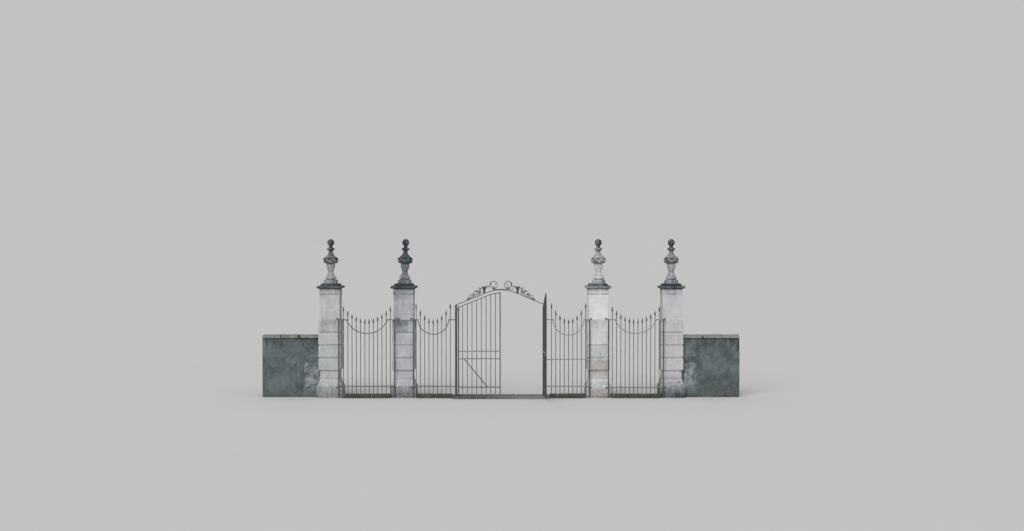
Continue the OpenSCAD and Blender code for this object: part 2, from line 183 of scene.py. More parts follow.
def fillet(pts, r):
    """Rounds the corners of a polyline with radius about r, and marks them +1 outward or -1 inward."""
    out, mark = [pts[0]], [0]
    for a, b, c in zip(pts, pts[1:], pts[2:]):
        a, b, c = np.array(a, float), np.array(b, float), np.array(c, float)
        la, lc = np.linalg.norm(a - b), np.linalg.norm(c - b)
        d1, d2 = (b - a) / la, (c - b) / lc
        turn = d1[0] * d2[1] - d1[1] * d2[0]
        q = min(r, la * 0.45, lc * 0.45)
        p0, p2 = b - d1 * q, b + d2 * q
        for t in (0, 0.5, 1):
            out.append(tuple((1 - t) ** 2 * p0 + 2 * t * (1 - t) * b + t * t * p2))
            mark.append(0 if abs(turn) < 0.12 else (1 if turn > 0 else -1))
    out.append(pts[-1])
    mark.append(0)
    return out, mark


def resample(pts, mark, step):
    """Adds points so that no stretch is longer than step. Returns points, edge and crevice weights."""
    P = [np.array(pts[0], float)]
    for a, b in zip(pts, pts[1:]):
        a, b = np.array(a, float), np.array(b, float)
        n = max(1, int(math.ceil(np.linalg.norm(b - a) / step)))
        for i in range(1, n + 1):
            P.append(a + (b - a) * i / n)
    P = np.array(P)
    s = np.concatenate([[0], np.cumsum(np.linalg.norm(np.diff(P, axis=0), axis=1))])
    src = np.array(pts, float)
    ss = np.concatenate([[0], np.cumsum(np.linalg.norm(np.diff(src, axis=0), axis=1))])
    edge, crev = np.zeros(len(P)), np.zeros(len(P))
    for c, m in zip(ss, mark):
        if m > 0:
            edge = np.maximum(edge, np.exp(-np.abs(s - c) / 0.014))
        elif m < 0:
            crev = np.maximum(crev, np.exp(-np.abs(s - c) / 0.022))
    return P, edge, crev


def square_loft(profile, r=0.008, step=0.014, n=24, corner=0.010, twist=0.0, taper=None):
    """A square-plan solid of stone from (half width, height) points, with rounded arrises.
    Returns verts, faces and the weights edge (near an arris) and crev (in a joint)."""
    pts, mark = fillet(profile, r)
    P, edge, crev = resample(pts, mark, step)
    t = np.linspace(-1, 1, n + 1)
    t = np.sign(t) * (1 - (1 - np.abs(t)) ** 1.45)
    ang = np.radians([22.5, 45, 67.5])
    rows, cw = [], None
    for h, z in P:
        q = min(corner, h * 0.3)
        side = [(x * (h - q), -h) for x in t]
        arc = [(h - q + q * math.sin(a), -h + q - q * math.cos(a)) for a in ang]
        ring = []
        for k in range(4):
            c, s = [(1, 0), (0, 1), (-1, 0), (0, -1)][k]
            ring += [(x * c - y * s, x * s + y * c, z) for x, y in side + arc]
        rows.append(ring)
        if cw is None:
            w = [math.exp(-(1 - abs(x)) * (h - q) / 0.016) for x in t] + [1.0] * 3
            cw = np.array(w * 4)
    rows = np.array(rows)
    R, C = rows.shape[:2]
    verts = rows.reshape(-1, 3)
    faces = grid_faces(R, C)
    e = np.maximum(edge[:, None], cw[None, :]).ravel()
    both = (np.minimum(1.0, edge[:, None] * cw[None, :] * 2.0)).ravel()
    c = np.repeat(crev, C)
    # closed ends
    verts = np.concatenate([verts, [[0, 0, P[0][1]], [0, 0, P[-1][1]]]])
    lo, hi = R * C, R * C + 1
    faces += [(lo, (j + 1) % C, j) for j in range(C)]
    faces += [(hi, (R - 1) * C + j, (R - 1) * C + (j + 1) % C) for j in range(C)]
    e, c, both = (np.concatenate([w, [0, 0]]) for w in (e, c, both))
    return verts, faces, e, c, both


def weather(verts, faces, e, c, both, seed, chip=0.010, rough=0.0022):
    """Moves a stone's surface inward: a worn face, chipped arrises, broken corners."""
    N = normals_of(verts, faces)
    face = 0.5 + 0.5 * fbm(verts, 0.16, 3, seed)
    pit = smooth(0.35, 0.8, noise(verts, 0.026, seed + 5)) * smooth(-0.1, 0.6, noise(verts, 0.3, seed + 9))
    cn = noise(verts, 0.085, seed + 31) + 0.55 * noise(verts, 0.034, seed + 33)
    chips = smooth(0.42, 0.95, cn) * e
    big = smooth(0.15, 0.75, noise(verts, 0.17, seed + 41)) * both
    d = rough * face + 0.0016 * pit + chip * chips + 0.0028 * e * (0.5 + 0.5 * noise(verts, 0.05, seed + 3)) + 0.016 * big
    return verts - N * d[:, None], np.clip(chips + big, 0, 1)


# ------------------------------------------------------------------ shader helpers

class Mat:
    def __init__(self, name):
        self.m = bpy.data.materials.new(name)
        self.m.use_nodes = True
        self.t = self.m.node_tree
        self.t.nodes.clear()
        self.out = self.t.nodes.new("ShaderNodeOutputMaterial")
        self.b = self.t.nodes.new("ShaderNodeBsdfPrincipled")
        self.t.links.new(self.b.outputs[0], self.out.inputs["Surface"])
        self.tc = self.t.nodes.new("ShaderNodeTexCoord")
        self.geo = self.t.nodes.new("ShaderNodeNewGeometry")

    def _in(self, sock, val):
        if isinstance(val, bpy.types.NodeSocket):
            self.t.links.new(val, sock)
        elif val is not None:
            if hasattr(sock.default_value, "__len__") and not hasattr(val, "__len__"):
                val = (val,) * len(sock.default_value)
            if hasattr(sock.default_value, "__len__") and len(val) == 3 and len(sock.default_value) == 4:
                val = (*val, 1.0)
            sock.default_value = val

    def obj(self, scale=(1, 1, 1), loc=(0, 0, 0)):
        n = self.t.nodes.new("ShaderNodeMapping")
        self.t.links.new(self.tc.outputs["Object"], n.inputs["Vector"])
        n.inputs["Scale"].default_value = scale
        n.inputs["Location"].default_value = loc
        return n.outputs[0]

    def warp(self, vec, scale, amount):
        """Coordinates pushed about by noise, so that straight patterns wander."""
        n = self.t.nodes.new("ShaderNodeVectorMath")
        n.operation = "MULTIPLY_ADD"
        self._in(n.inputs[0], self.noise(vec, scale, 4, 0.6, 0.0, "Color"))
        n.inputs[1].default_value = (amount,) * 3
        self._in(n.inputs[2], vec)
        return n.outputs[0]

    def math(self, op, a, b=None, c=None, clamp=False):
        n = self.t.nodes.new("ShaderNodeMath")
        n.operation = op
        n.use_clamp = clamp
        for s, v in zip(n.inputs, (a, b, c)):
            self._in(s, v)
        return n.outputs[0]

    def add(self, a, b): return self.math("ADD", a, b)
    def sub(self, a, b): return self.math("SUBTRACT", a, b)
    def mul(self, a, b): return self.math("MULTIPLY", a, b)

    def step(self, x, a, b):
        n = self.t.nodes.new("ShaderNodeMapRange")
        n.interpolation_type = "SMOOTHSTEP"
        self._in(n.inputs["Value"], x)
        n.inputs["From Min"].default_value = a
        n.inputs["From Max"].default_value = b
        return n.outputs[0]

    def noise(self, vec, scale, detail=4.0, rough=0.55, dist=0.0, what="Fac"):
        n = self.t.nodes.new("ShaderNodeTexNoise")
        self._in(n.inputs["Vector"], vec)
        n.inputs["Scale"].default_value = scale
        n.inputs["Detail"].default_value = detail
        n.inputs["Roughness"].default_value = rough
        n.inputs["Distortion"].default_value = dist
        return n.outputs[what]

    def voronoi(self, vec, scale, feature="F1", what="Distance", rand=1.0):
        n = self.t.nodes.new("ShaderNodeTexVoronoi")
        n.feature = feature
        self._in(n.inputs["Vector"], vec)
        n.inputs["Scale"].default_value = scale
        n.inputs["Randomness"].default_value = rand
        return n.outputs[what]

    def attr(self, name):
        n = self.t.nodes.new("ShaderNodeAttribute")
        n.attribute_name = name
        return n.outputs["Fac"]

    def xyz(self, sock):
        n = self.t.nodes.new("ShaderNodeSeparateXYZ")
        self._in(n.inputs[0], sock)
        return n.outputs

    def mix(self, fac, a, b, mode="MIX"):
        n = self.t.nodes.new("ShaderNodeMix")
        n.data_type = "RGBA"
        n.blend_type = mode
        n.clamp_factor = True
        self._in(n.inputs[0], fac)
        self._in(n.inputs[6], a)
        self._in(n.inputs[7], b)
        return n.outputs[2]

    def ramp(self, fac, stops):
        n = self.t.nodes.new("ShaderNodeValToRGB")
        self._in(n.inputs[0], fac)
        r = n.color_ramp
        while len(r.elements) > 1:
            r.elements.remove(r.elements[-1])
        for i, (p, col) in enumerate(stops):
            el = r.elements[0] if i == 0 else r.elements.new(p)
            el.position = p
            el.color = (*col, 1.0) if len(col) == 3 else col
        return n.outputs[0]

    def bump(self, height, strength, distance, normal=None):
        n = self.t.nodes.new("ShaderNodeBump")
        n.inputs["Strength"].default_value = strength
        n.inputs["Distance"].default_value = distance
        self._in(n.inputs["Height"], height)
        if normal is not None:
            self._in(n.inputs["Normal"], normal)
        return n.outputs[0]

    def done(self, color, rough, normal=None, metallic=None, **consts):
        self._in(self.b.inputs["Base Color"], color)
        self._in(self.b.inputs["Roughness"], rough)
        if normal is not None:
            self._in(self.b.inputs["Normal"], normal)
        if metallic is not None:
            self._in(self.b.inputs["Metallic"], metallic)
        for k, v in consts.items():
            self.b.inputs[k].default_value = v
        return self.m


def srgb(r, g, b):
    return tuple(((c / 255) / 12.92 if c / 255 <= 0.04045 else ((c / 255 + 0.055) / 1.055) ** 2.4) for c in (r, g, b))


def tone(r, g, b):
    """The surface colour that shows as r, g, b where the key light falls on it."""
    return tuple(min(c / 1.14, 0.9) for c in srgb(r, g, b))


# ------------------------------------------------------------------ materials

def stone_material(name, light, mid, dark, seed=0.0, grain=1.0, stain=(178, 158, 148)):
    """Old limestone: mottled pale faces, bedding, a dark film of soot and lichen that on some piers also carries
    painted shade, black crust, algae, iron stain.
    dirt, soot, moss, warm, wash and broken are point attributes from the mesh code."""
    m = Mat(name)
    v = m.obj(loc=(seed, seed * 0.7, seed * 1.3))
    cloud = m.noise(v, 2.2, 4, 0.6)
    blot = m.noise(v, 9.0, 5, 0.62)
    fine = m.noise(v, 60.0, 4, 0.6)
    grit = m.noise(v, 380.0, 3, 0.6)
    streak = m.noise(m.obj(scale=(26, 26, 1.3), loc=(seed, 0, 0)), 1.0, 4, 0.6)
    bed = m.noise(m.obj(scale=(1.6, 1.6, 22.0), loc=(0, seed, 0)), 1.0, 3, 0.55)
    base = m.mix(m.step(cloud, 0.34, 0.68), mid, light)
    base = m.mix(m.mul(m.step(blot, 0.42, 0.72), 0.55), base, mid)
    base = m.mix(m.mul(m.step(bed, 0.5, 0.75), 0.10), base, dark, "MULTIPLY")
    base = m.mix(m.mul(m.step(streak, 0.52, 0.78), 0.26), base, dark)
    base = m.mix(m.mul(m.step(fine, 0.55, 0.8), 0.25), base, dark)
    # a paler, warmer heart where an arris has broken away
    base = m.mix(m.mul(m.attr("broken"), 0.42), base, tone(212, 207, 196))
    # tan to pink iron stain
    wv = m.add(m.attr("warm"), m.mul(m.sub(m.noise(v, 7.0, 5, 0.65, 1.2), 0.5), 1.0))
    base = m.mix(m.mul(m.step(wv, 0.35, 1.0), 0.62), base, tone(*stain))
    # cool grey wash below ledges
    ws = m.add(m.attr("wash"), m.mul(m.sub(m.noise(m.obj(scale=(14, 14, 4)), 1.0, 5, 0.6), 0.5), 0.8))
    base = m.mix(m.mul(m.step(ws, 0.30, 0.95), 0.6), base, tone(128, 143, 152))
    # dark film, uneven where it is thin; the dirt weight also carries painted shade
    dirt = m.attr("dirt")
    run = m.noise(m.obj(scale=(17, 17, 3.2), loc=(0, seed, 0)), 1.0, 5, 0.62, 0.3)
    cover = m.add(0.30, m.mul(m.mul(dirt, m.sub(1.0, dirt)), 3.4))
    mott = m.add(m.mul(m.sub(run, 0.5), 0.8), m.mul(m.sub(m.noise(v, 15.0, 6, 0.68, 0.4), 0.5), 0.9))
    film = m.math("ADD", dirt, m.mul(mott, cover), clamp=True)
    skin = m.mix(m.step(m.noise(v, 34.0, 5, 0.66), 0.36, 0.66), tone(38, 46, 49), tone(66, 76, 80))
    base = m.mix(film, base, skin)
    # algae and moss
    mo = m.add(m.attr("moss"), m.mul(m.sub(m.noise(v, 16.0, 6, 0.68), 0.5), 1.15))
    moss = m.mix(m.step(m.noise(v, 90.0, 3, 0.6), 0.4, 0.65), tone(66, 74, 50), tone(104, 108, 84))
    base = m.mix(m.mul(m.step(mo, 0.45, 0.95), 0.82), base, moss)
    # black crust
    so = m.add(m.attr("soot"), m.mul(m.sub(m.noise(v, 13.0, 7, 0.7, 0.6), 0.5), 1.25))
    crust = m.mix(m.step(m.noise(v, 120.0, 4, 0.7), 0.42, 0.62), tone(34, 38, 40), tone(62, 68, 71))
    base = m.mix(m.mul(m.step(so, 0.42, 0.88), 0.90), base, crust)
    # pale lichen spots
    sp = m.voronoi(v, 19.0, "F1", "Distance", 1.0)
    spots = m.mul(m.sub(1.0, m.step(sp, 0.13, 0.20)), m.step(m.noise(v, 3.2, 3, 0.6), 0.54, 0.7))
    base = m.mix(m.mul(spots, 0.34), base, tone(182, 185, 178))
    pores = m.voronoi(v, 160.0, "F1", "Distance", 1.0)
    h = m.add(m.mul(fine, 0.55), m.mul(m.step(pores, 0.0, 0.35), 0.25))
    h = m.add(h, m.mul(grit, 0.18 * grain))
    h = m.add(h, m.mul(m.step(so, 0.42, 0.88), m.mul(m.noise(v, 90.0, 4, 0.7), 0.5)))
    nrm = m.bump(h, 0.42, 0.004)
    nrm = m.bump(m.noise(v, 24.0, 5, 0.6), 0.25, 0.010, nrm)
    rough = m.add(0.80, m.mul(fine, 0.18))
    return m.done(base, rough, nrm, 0.0, **{"Specular IOR Level": 0.2})


def plaster_material(name):
    """Old lime plaster: cool grey-white, patched, rain-streaked; bare masonry where it has fallen."""
    m = Mat(name)
    v = m.obj(loc=(3.1, 0.4, 1.7))
    cloud = m.noise(v, 1.7, 5, 0.62)
    blot = m.noise(v, 6.5, 6, 0.65, 0.4)
    fine = m.noise(v, 70.0, 4, 0.6)
    streak = m.noise(m.obj(scale=(15, 15, 1.0)), 1.0, 5, 0.62)
    base = m.mix(m.step(cloud, 0.35, 0.66), tone(74, 82, 84), tone(102, 110, 112))
    base = m.mix(m.mul(m.step(blot, 0.50, 0.72), 0.5), base, tone(122, 130, 133))
    pale = m.add(m.attr("pale"), m.mul(m.sub(m.noise(v, 4.4, 6, 0.66, 0.5), 0.5), 1.9))
    base = m.mix(m.mul(m.step(pale, 0.26, 0.86), 0.90), base, tone(151, 156, 160))
    base = m.mix(m.mul(m.step(m.noise(v, 4.1, 6, 0.7, 1.0), 0.54, 0.68), 0.70), base, tone(66, 73, 75))
    base = m.mix(m.mul(m.step(streak, 0.52, 0.72), 0.6), base, tone(60, 68, 70))
    crack = m.voronoi(m.warp(m.obj(scale=(1.5, 1.5, 1.1), loc=(0.3, 0, 0.2)), 3.2, 0.20), 1.0, "DISTANCE_TO_EDGE")
    cm = m.mul(m.sub(1.0, m.step(crack, 0.0, 0.006)), m.step(m.noise(v, 2.4, 3, 0.5), 0.50, 0.58))
    base = m.mix(m.mul(cm, 0.75), base, tone(56, 60, 60))
    gone = m.attr("gone")
    rubble = m.mix(m.noise(v, 5.0, 3, 0.5), tone(82, 86, 88), tone(108, 111, 111))
    rubble = m.mix(m.mul(m.noise(v, 44.0, 5, 0.65), 0.7), rubble, tone(62, 66, 68))
    base = m.mix(m.step(gone, 0.35, 0.6), base, rubble)
    mo = m.add(m.attr("moss"), m.mul(m.sub(m.noise(v, 12.0, 6, 0.68), 0.5), 1.1))
    base = m.mix(m.mul(m.step(mo, 0.42, 0.95), 0.85), base, m.mix(m.noise(v, 60.0, 3), tone(58, 66, 46), tone(92, 98, 76)))
    so = m.add(m.attr("soot"), m.mul(m.sub(m.noise(v, 9.0, 6, 0.7, 0.6), 0.5), 1.2))
    base = m.mix(m.mul(m.step(so, 0.40, 0.90), 0.8), base, tone(50, 55, 57))
    h = m.add(m.mul(fine, 0.5), m.mul(m.noise(v, 300.0, 3, 0.6), 0.25))
    h = m.sub(h, m.mul(cm, 0.9))
    nrm = m.bump(h, 0.45, 0.004)
    nrm = m.bump(blot, 0.25, 0.012, nrm)
    return m.done(base, m.add(0.82, m.mul(fine, 0.14)), nrm, 0.0, **{"Specular IOR Level": 0.2})


def iron_material(name, paint, chalk, seed=0.0, rusty=0.0):
    """Old paint over forged iron: chalked; paler on faces that turn upward, which is painted highlight, and where the
    chalky weight lies, partly chalk and partly painted highlight; darker where the shade weight lies, which is painted
    shade; scaled, rusting at joints and low down.
    """
    m = Mat(name)
    v = m.obj(loc=(seed, seed, seed * 2))
    up = m.xyz(m.geo.outputs["Normal"])[2]
    cloud = m.noise(v, 6.0, 4, 0.6)
    fine = m.noise(v, 95.0, 5, 0.62)
    base = m.mix(m.step(cloud, 0.35, 0.68), paint, chalk)
    # rails given a chalky weight are drawn paler: partly chalked paint, partly painted highlight
    base = m.mix(m.mul(m.attr("chalky"), 0.85), base, tone(142, 152, 150))
    # painted highlight: faces that turn upward are drawn paler
    base = m.mix(m.mul(m.step(up, 0.15, 0.95), 0.45), base, tone(128, 140, 138))
    base = m.mix(m.mul(m.step(fine, 0.56, 0.74), 0.45), base, chalk)
    base = m.mix(m.mul(m.step(m.noise(v, 220.0, 3, 0.6), 0.58, 0.75), 0.5), base, srgb(30, 36, 36))
    # painted shade: parts given a shade weight are drawn darker, as if they stood in shade
    base = m.mix(m.mul(m.attr("shade"), 0.85), base, tone(38, 47, 47))
    ru = m.add(m.add(m.attr("rust"), rusty), m.mul(m.sub(m.noise(v, 42.0, 7, 0.72, 0.5), 0.5), 1.5))
    rust = m.ramp(m.noise(v, 150.0, 5, 0.7), [(0.30, srgb(44, 26, 18)), (0.52, srgb(96, 52, 28)), (0.72, srgb(140, 84, 44))])
    rk = m.step(ru, 0.50, 0.78)
    base = m.mix(m.mul(rk, 0.9), base, rust)
    bare = m.mul(m.attr("wear"), m.step(fine, 0.40, 0.62))
    base = m.mix(m.mul(bare, 0.75), base, srgb(86, 84, 82))
    h = m.add(m.mul(fine, 0.5), m.mul(m.mul(rk, m.noise(v, 260.0, 4, 0.7)), 0.9))
    h = m.add(h, m.mul(m.noise(v, 28.0, 3, 0.5), 0.5))
    nrm = m.bump(h, 0.45, 0.0022)
    rough = m.add(m.add(0.50, m.mul(cloud, 0.14)), m.mul(rk, 0.26))
    return m.done(base, rough, nrm, m.mul(bare, 0.8), **{"Specular IOR Level": 0.4})


STONE = {
    "outer_left": stone_material("stone_outer_left", tone(196, 196, 198), tone(180, 181, 183), tone(146, 149, 151), 4.0),
    "inner_left": stone_material("stone_inner_left", tone(188, 189, 194), tone(174, 175, 181), tone(140, 144, 149), 1.0),
    "inner_right": stone_material("stone_inner_right", tone(217, 217, 219), tone(203, 203, 204), tone(168, 168, 168), 2.0),
    "outer_right": stone_material("stone_outer_right", tone(200, 200, 203), tone(186, 186, 189), tone(152, 154, 157), 3.0),
}
# the kerb tones are dark partly from moss and grime, partly painted shade
KERB = stone_material("stone_kerb", tone(77, 81, 73), tone(60, 64, 57), tone(40, 44, 39), 6.0, 1.4, (86, 80, 70))
SILL = stone_material("stone_threshold", tone(138, 140, 137), tone(114, 116, 113), tone(84, 87, 83), 8.0, 1.4, (124, 117, 106))
COPING = stone_material("stone_coping", tone(142, 145, 142), tone(116, 120, 118), tone(80, 86, 84), 7.0, 1.4, (126, 118, 106))
PLASTER = plaster_material("lime_plaster")
IRON = iron_material("iron_paint", tone(58, 70, 69), tone(84, 96, 94), 1.0, 0.0)
# a shaded copy of the paint for the posts and the right leaf: painted shade
IRON_SHADED = iron_material("iron_paint_shaded", tone(46, 57, 58), tone(64, 76, 77), 2.0, 0.0)
FITTING = iron_material("iron_fittings", tone(46, 52, 52), tone(68, 74, 74), 5.0, 0.10)

# ------------------------------------------------------------------ piers

PIER_Y = 0.370
PIERS = {"outer_left": -4.640, "inner_left": -2.640, "inner_right": 2.640, "outer_right": 4.640}
BASE_P = [(0.3492, 0.0), (0.3492, 0.296), (0.345, 0.306), (0.336, 0.326), (0.316, 0.362), (0.296, 0.406),
          (0.282, 0.454), (0.271, 0.490), (0.270, 0.510)]
COURSE_P = [(0.262, 0.510), (0.262, 0.7295)]
BLOCK_Z = [0.730 + 0.345 * i for i in range(4)]
UPPER_P = [(0.284, 2.110), (0.273, 2.124), (0.2715, 2.132), (0.2715, 2.790)]
CAP_P = [(0.272, 2.790), (0.280, 2.800), (0.280, 2.908), (0.286, 2.914), (0.286, 2.926), (0.274, 2.932),
         (0.274, 2.944), (0.302, 2.948), (0.324, 2.956), (0.344, 2.966), (0.3492, 2.972), (0.3492, 3.014),
         (0.342, 3.022), (0.257, 3.030), (0.257, 3.077), (0.249, 3.085)]


def box_uv(P, cx):
    """Signed distances from a pier's middle."""
    return P[:, 0] - cx, P[:, 1] - PIER_Y


# how thick the dark film lies on the parts of each pier, from the ball down to the plinth, from 0 to 1; lean is painted
# shade that darkens one side and lightens the other
FILM = {
    "outer_left": dict(ball=0.90, disc=0.84, neck=0.62, bulge=0.72, bowl=0.30, foot=0.34, seat=0.55, step=0.94, cornice=0.86,
                       frieze=0.28, upper=0.14, fourth=0.34, low=0.06, lower=0.08, course=0.12, plinth=0.66, lean=0.0),
    "inner_left": dict(ball=0.97, disc=0.97, neck=0.88, bulge=0.82, bowl=0.42, foot=0.43, seat=0.60, step=1.00, cornice=0.97,
                       frieze=0.20, upper=0.19, fourth=0.68, low=0.06, lower=0.00, course=0.00, plinth=0.66, lean=-0.10),
    "inner_right": dict(ball=0.90, disc=0.70, neck=0.42, bulge=0.50, bowl=0.03, foot=0.24, seat=0.50, step=0.90, cornice=0.68,
                        frieze=0.14, upper=0.00, fourth=0.22, low=0.09, lower=0.13, course=0.20, plinth=0.42, lean=0.22),
    # the outer right pier's plinth is dark partly from soil splash and partly painted ground shade
    "outer_right": dict(ball=0.90, disc=0.84, neck=0.56, bulge=0.72, bowl=0.30, foot=0.34, seat=0.60, step=0.94, cornice=0.86,
                        frieze=0.24, upper=0.08, fourth=0.16, low=0.08, lower=0.02, course=0.20, course_top=0.06, mould=0.46, flare=0.30, plinth=0.98, lean=0.08),
}


def steps(z, first, *rest):
    """A value that changes to each further one about its height."""
    v, last = first, first
    for a, b, nxt in rest:
        v = v + (nxt - last) * smooth(a, b, z)
        last = nxt
    return v


def stone_attrs(P, key, kind):
    """Weathering weights for a point of a pier, from where it is on the pier."""
    cx = PIERS[key]
    u, w = box_uv(P, cx)
    z = P[:, 2]
    f = FILM[key]
    sd = {"outer_left": 11, "inner_left": 23, "inner_right": 37, "outer_right": 53}[key]
    n1 = fbm(P, 0.30, 3, sd)
    n2 = fbm(P * np.array([1, 1, 0.25]), 0.10, 3, sd + 1)
    n3 = fbm(P * np.array([1, 1, 0.16]), 0.055, 3, sd + 4)
    side = np.where(np.abs(u) > np.abs(w), w, u)
    if kind == "urn":
        dirt = steps(z, f["seat"], (3.18, 3.22, f["foot"]), (3.40, 3.46, f["bowl"]), (3.60, 3.65, f["bulge"]),
                     (3.76, 3.81, f["neck"]), (3.94, 3.985, f["disc"]), (4.06, 4.10, f["ball"]))
        # dark swirls where water stands on the bulge
        dirt = dirt + 0.22 * smooth(3.62, 3.66, z) * (1 - smooth(3.76, 3.82, z)) * n1
        # painted shade: by lean, the urn darker on one side and lighter on the other
        dirt = dirt + f["lean"] * np.clip(u / 0.15, -1, 1) * (1 - smooth(3.2, 3.3, z) + smooth(3.9, 4.0, z))
    elif kind == "cap":
        dirt = steps(z, f["frieze"], (2.925, 2.95, f["cornice"]), (3.012, 3.030, f["step"]))
        # painted shade: by lean, the cornice darker on one side and lighter on the other
        dirt = dirt + f["lean"] * 0.4 * np.clip(u / 0.3, -1, 1) * smooth(2.93, 2.95, z)
    elif kind == "base":
        dirt = steps(z, f["plinth"], (0.02, 0.34, f["plinth"] * 0.60), (0.305, 0.36, f.get("mould", 0.10 + 1.1 * f["course"])),
                     (0.40, 0.46, f.get("flare", 0.04 + 0.55 * f["course"])))
    else:
        # below the ledge the film hangs in a swag, thin towards the corners, with two heavier runs
        hang = f["fourth"] * (0.62 + 0.38 * smooth(1.84, 2.04, z)) * (1 - 0.42 * smooth(0.17, 0.27, np.abs(side)))
        hang = hang + 0.26 * f["fourth"] * smooth(1.86, 2.00, z) * (np.exp(-((side + 0.14) / 0.035) ** 2) + np.exp(-((side - 0.13) / 0.032) ** 2))
        dirt = steps(z, 0.02 + f["course"], (0.56, 0.64, 0.02 + f.get("course_top", f["course"])), (0.72, 0.74, f["low"] + f["lower"]), (1.40, 1.44, f["low"]), (1.50, 1.60, f["low"] * 1.5))
        if key == "inner_left":
            # the swag hangs short of the right arris
            hang = hang * (1 - 0.85 * smooth(0.08, 0.16, side) * (1 - 0.75 * smooth(2.02, 2.10, z)) - 0.45 * smooth(0.15, 0.23, -side) * (1 - smooth(2.05, 2.11, z)))
        inb = smooth(1.755, 1.775, z) * (1 - smooth(2.10, 2.122, z))
        dirt = dirt * (1 - inb) + hang * inb
        up = smooth(2.112, 2.13, z)
        dirt = dirt * (1 - up) + up * (f["upper"] * (0.8 + 0.35 * smooth(2.55, 2.78, z)) + 0.5 * f["upper"] * n3)
    if key == "inner_left" and kind in ("shaft", "cap"):
        # painted shade: darker towards its left arris and lighter towards its right
        dirt = dirt - 0.085 * np.clip(u / 0.24, -1, 1) * smooth(1.2, 1.8, z) * (1 - smooth(2.92, 2.95, z)) * (1 - smooth(1.76, 1.80, z) * (1 - smooth(2.08, 2.13, z)))
    dirt = dirt * (1 + 0.30 * n2) + 0.04 * n1 * (dirt > 0.02)
    soot = np.zeros(len(P))
    dark = f["cornice"]
    soot += 0.42 * dark * smooth(2.93, 2.99, z) * (1 - smooth(3.14, 3.20, z)) * (0.7 + 0.9 * n1)
    soot += 0.30 * dark * smooth(3.02, 3.03, z) * (1 - smooth(3.08, 3.09, z))
    # drips under the moulding and spots on the frieze's foot
    heavy = 1.0 if key == "inner_left" else 0.70
    soot += heavy * dark * smooth(2.80, 2.815, z) * (1 - smooth(2.83, 2.88, z)) * smooth(0.02, 0.45, n3)
    soot += 0.30 * dark * smooth(2.86, 2.92, z) * (1 - smooth(2.93, 2.95, z)) * smooth(-0.1, 0.5, n2)
    soot += 0.30 * dark * smooth(2.60, 2.79, z) * (1 - smooth(2.79, 2.81, z)) * smooth(0.15, 0.6, n3)
    if kind == "urn":
        soot += 0.26 * f["ball"] * (0.4 + 0.6 * smooth(3.6, 4.1, z)) * (0.5 + 1.1 * n1)
        soot -= 0.30 * smooth(3.44, 3.5, z) * (1 - smooth(3.56, 3.62, z))
    soot += 0.26 * (1 - smooth(0.0, 0.30, z)) * (0.5 + n1)
    if key == "inner_left":
        # flaked spots on an arris, and two faint lines of old pointing
        soot += 0.8 * np.exp(-(((np.abs(u) - 0.268) / 0.022) ** 2 + ((z - 2.53) / 0.022) ** 2)) * (u > 0)
        for zj in (1.703, 1.358):
            soot += 0.50 * np.exp(-((z - zj) / 0.009) ** 2) * (0.5 + 0.6 * n2)
    if key == "inner_right":
        soot += 0.45 * np.exp(-((z - 0.90) / 0.09) ** 2) * smooth(0.0, 0.25, u) * smooth(-0.2, 0.5, n1)
    if kind in ("shaft", "base"):
        # iron and lead have stained the face where the cramps enter it
        for zc, reach in ((2.140, 0.200), (0.281, 0.200)):
            for sg in {"outer_left": (1,), "outer_right": (-1,)}.get(key, (-1, 1)):
                uc = 0.120 if key == "inner_left" and sg < 0 and zc > 1 else reach
                hit = np.exp(-((u - sg * uc) / 0.030) ** 2 - ((z - zc) / 0.016) ** 2)
                drip = np.exp(-((u - sg * uc) / 0.016) ** 2) * smooth(zc - 0.22, zc - 0.02, z) * (1 - smooth(zc, zc + 0.01, z))
                soot += (w < 0) * (0.75 * hit + 0.40 * drip * (0.6 + n3))
    moss = 0.80 * (1 - smooth(0.02, 0.26, z)) * (0.7 + 0.6 * n1)
    moss += 0.22 * smooth(0.30, 0.33, z) * (1 - smooth(0.36, 0.48, z))
    moss += 0.20 * smooth(2.98, 3.03, z) * (1 - smooth(3.03, 3.10, z)) * (0.6 + n1)
    wash = np.zeros(len(P))
    if kind == "shaft":
        amt = {"outer_left": 0.25, "inner_left": 0.58, "inner_right": 0.20, "outer_right": 0.20}[key]
        wash += amt * smooth(1.80, 2.0, z) * (1 - smooth(2.10, 2.125, z)) + amt * smooth(2.45, 2.75, z)
        wash += 0.22 * (1 - smooth(0.0, 0.10, np.abs(z - 2.36))) * smooth(0.15, 0.6, n2)
    if kind in ("cap", "urn"):
        wash += {"outer_left": 0.4, "inner_left": 0.88, "inner_right": 0.47, "outer_right": 0.4}[key]
    warm = np.zeros(len(P))
    if key == "inner_right":
        warm += 0.80 * np.exp(-((z - 0.88) / 0.19) ** 4) * (1.0 + 0.4 * n1)
        warm += 0.55 * np.exp(-((z - 0.62) / 0.12) ** 2)
        warm += 0.80 * np.exp(-((z - 0.15) / 0.16) ** 4) * (1.0 + 0.4 * n1)
        warm += 0.20 * smooth(0.1, 0.7, n1) * (1 - smooth(2.2, 2.5, z)) * smooth(2.1, 2.14, z) * smooth(0.0, 0.2, -u)
    else:
        warm += 0.20 * (1 - smooth(0.1, 0.9, z)) * (0.4 + n1)
    return dict(dirt=np.clip(dirt, 0, 1), soot=np.clip(soot, 0, 1.2), moss=np.clip(moss, 0, 1), warm=np.clip(warm, 0, 1.1),
                wash=np.clip(wash, 0, 1))


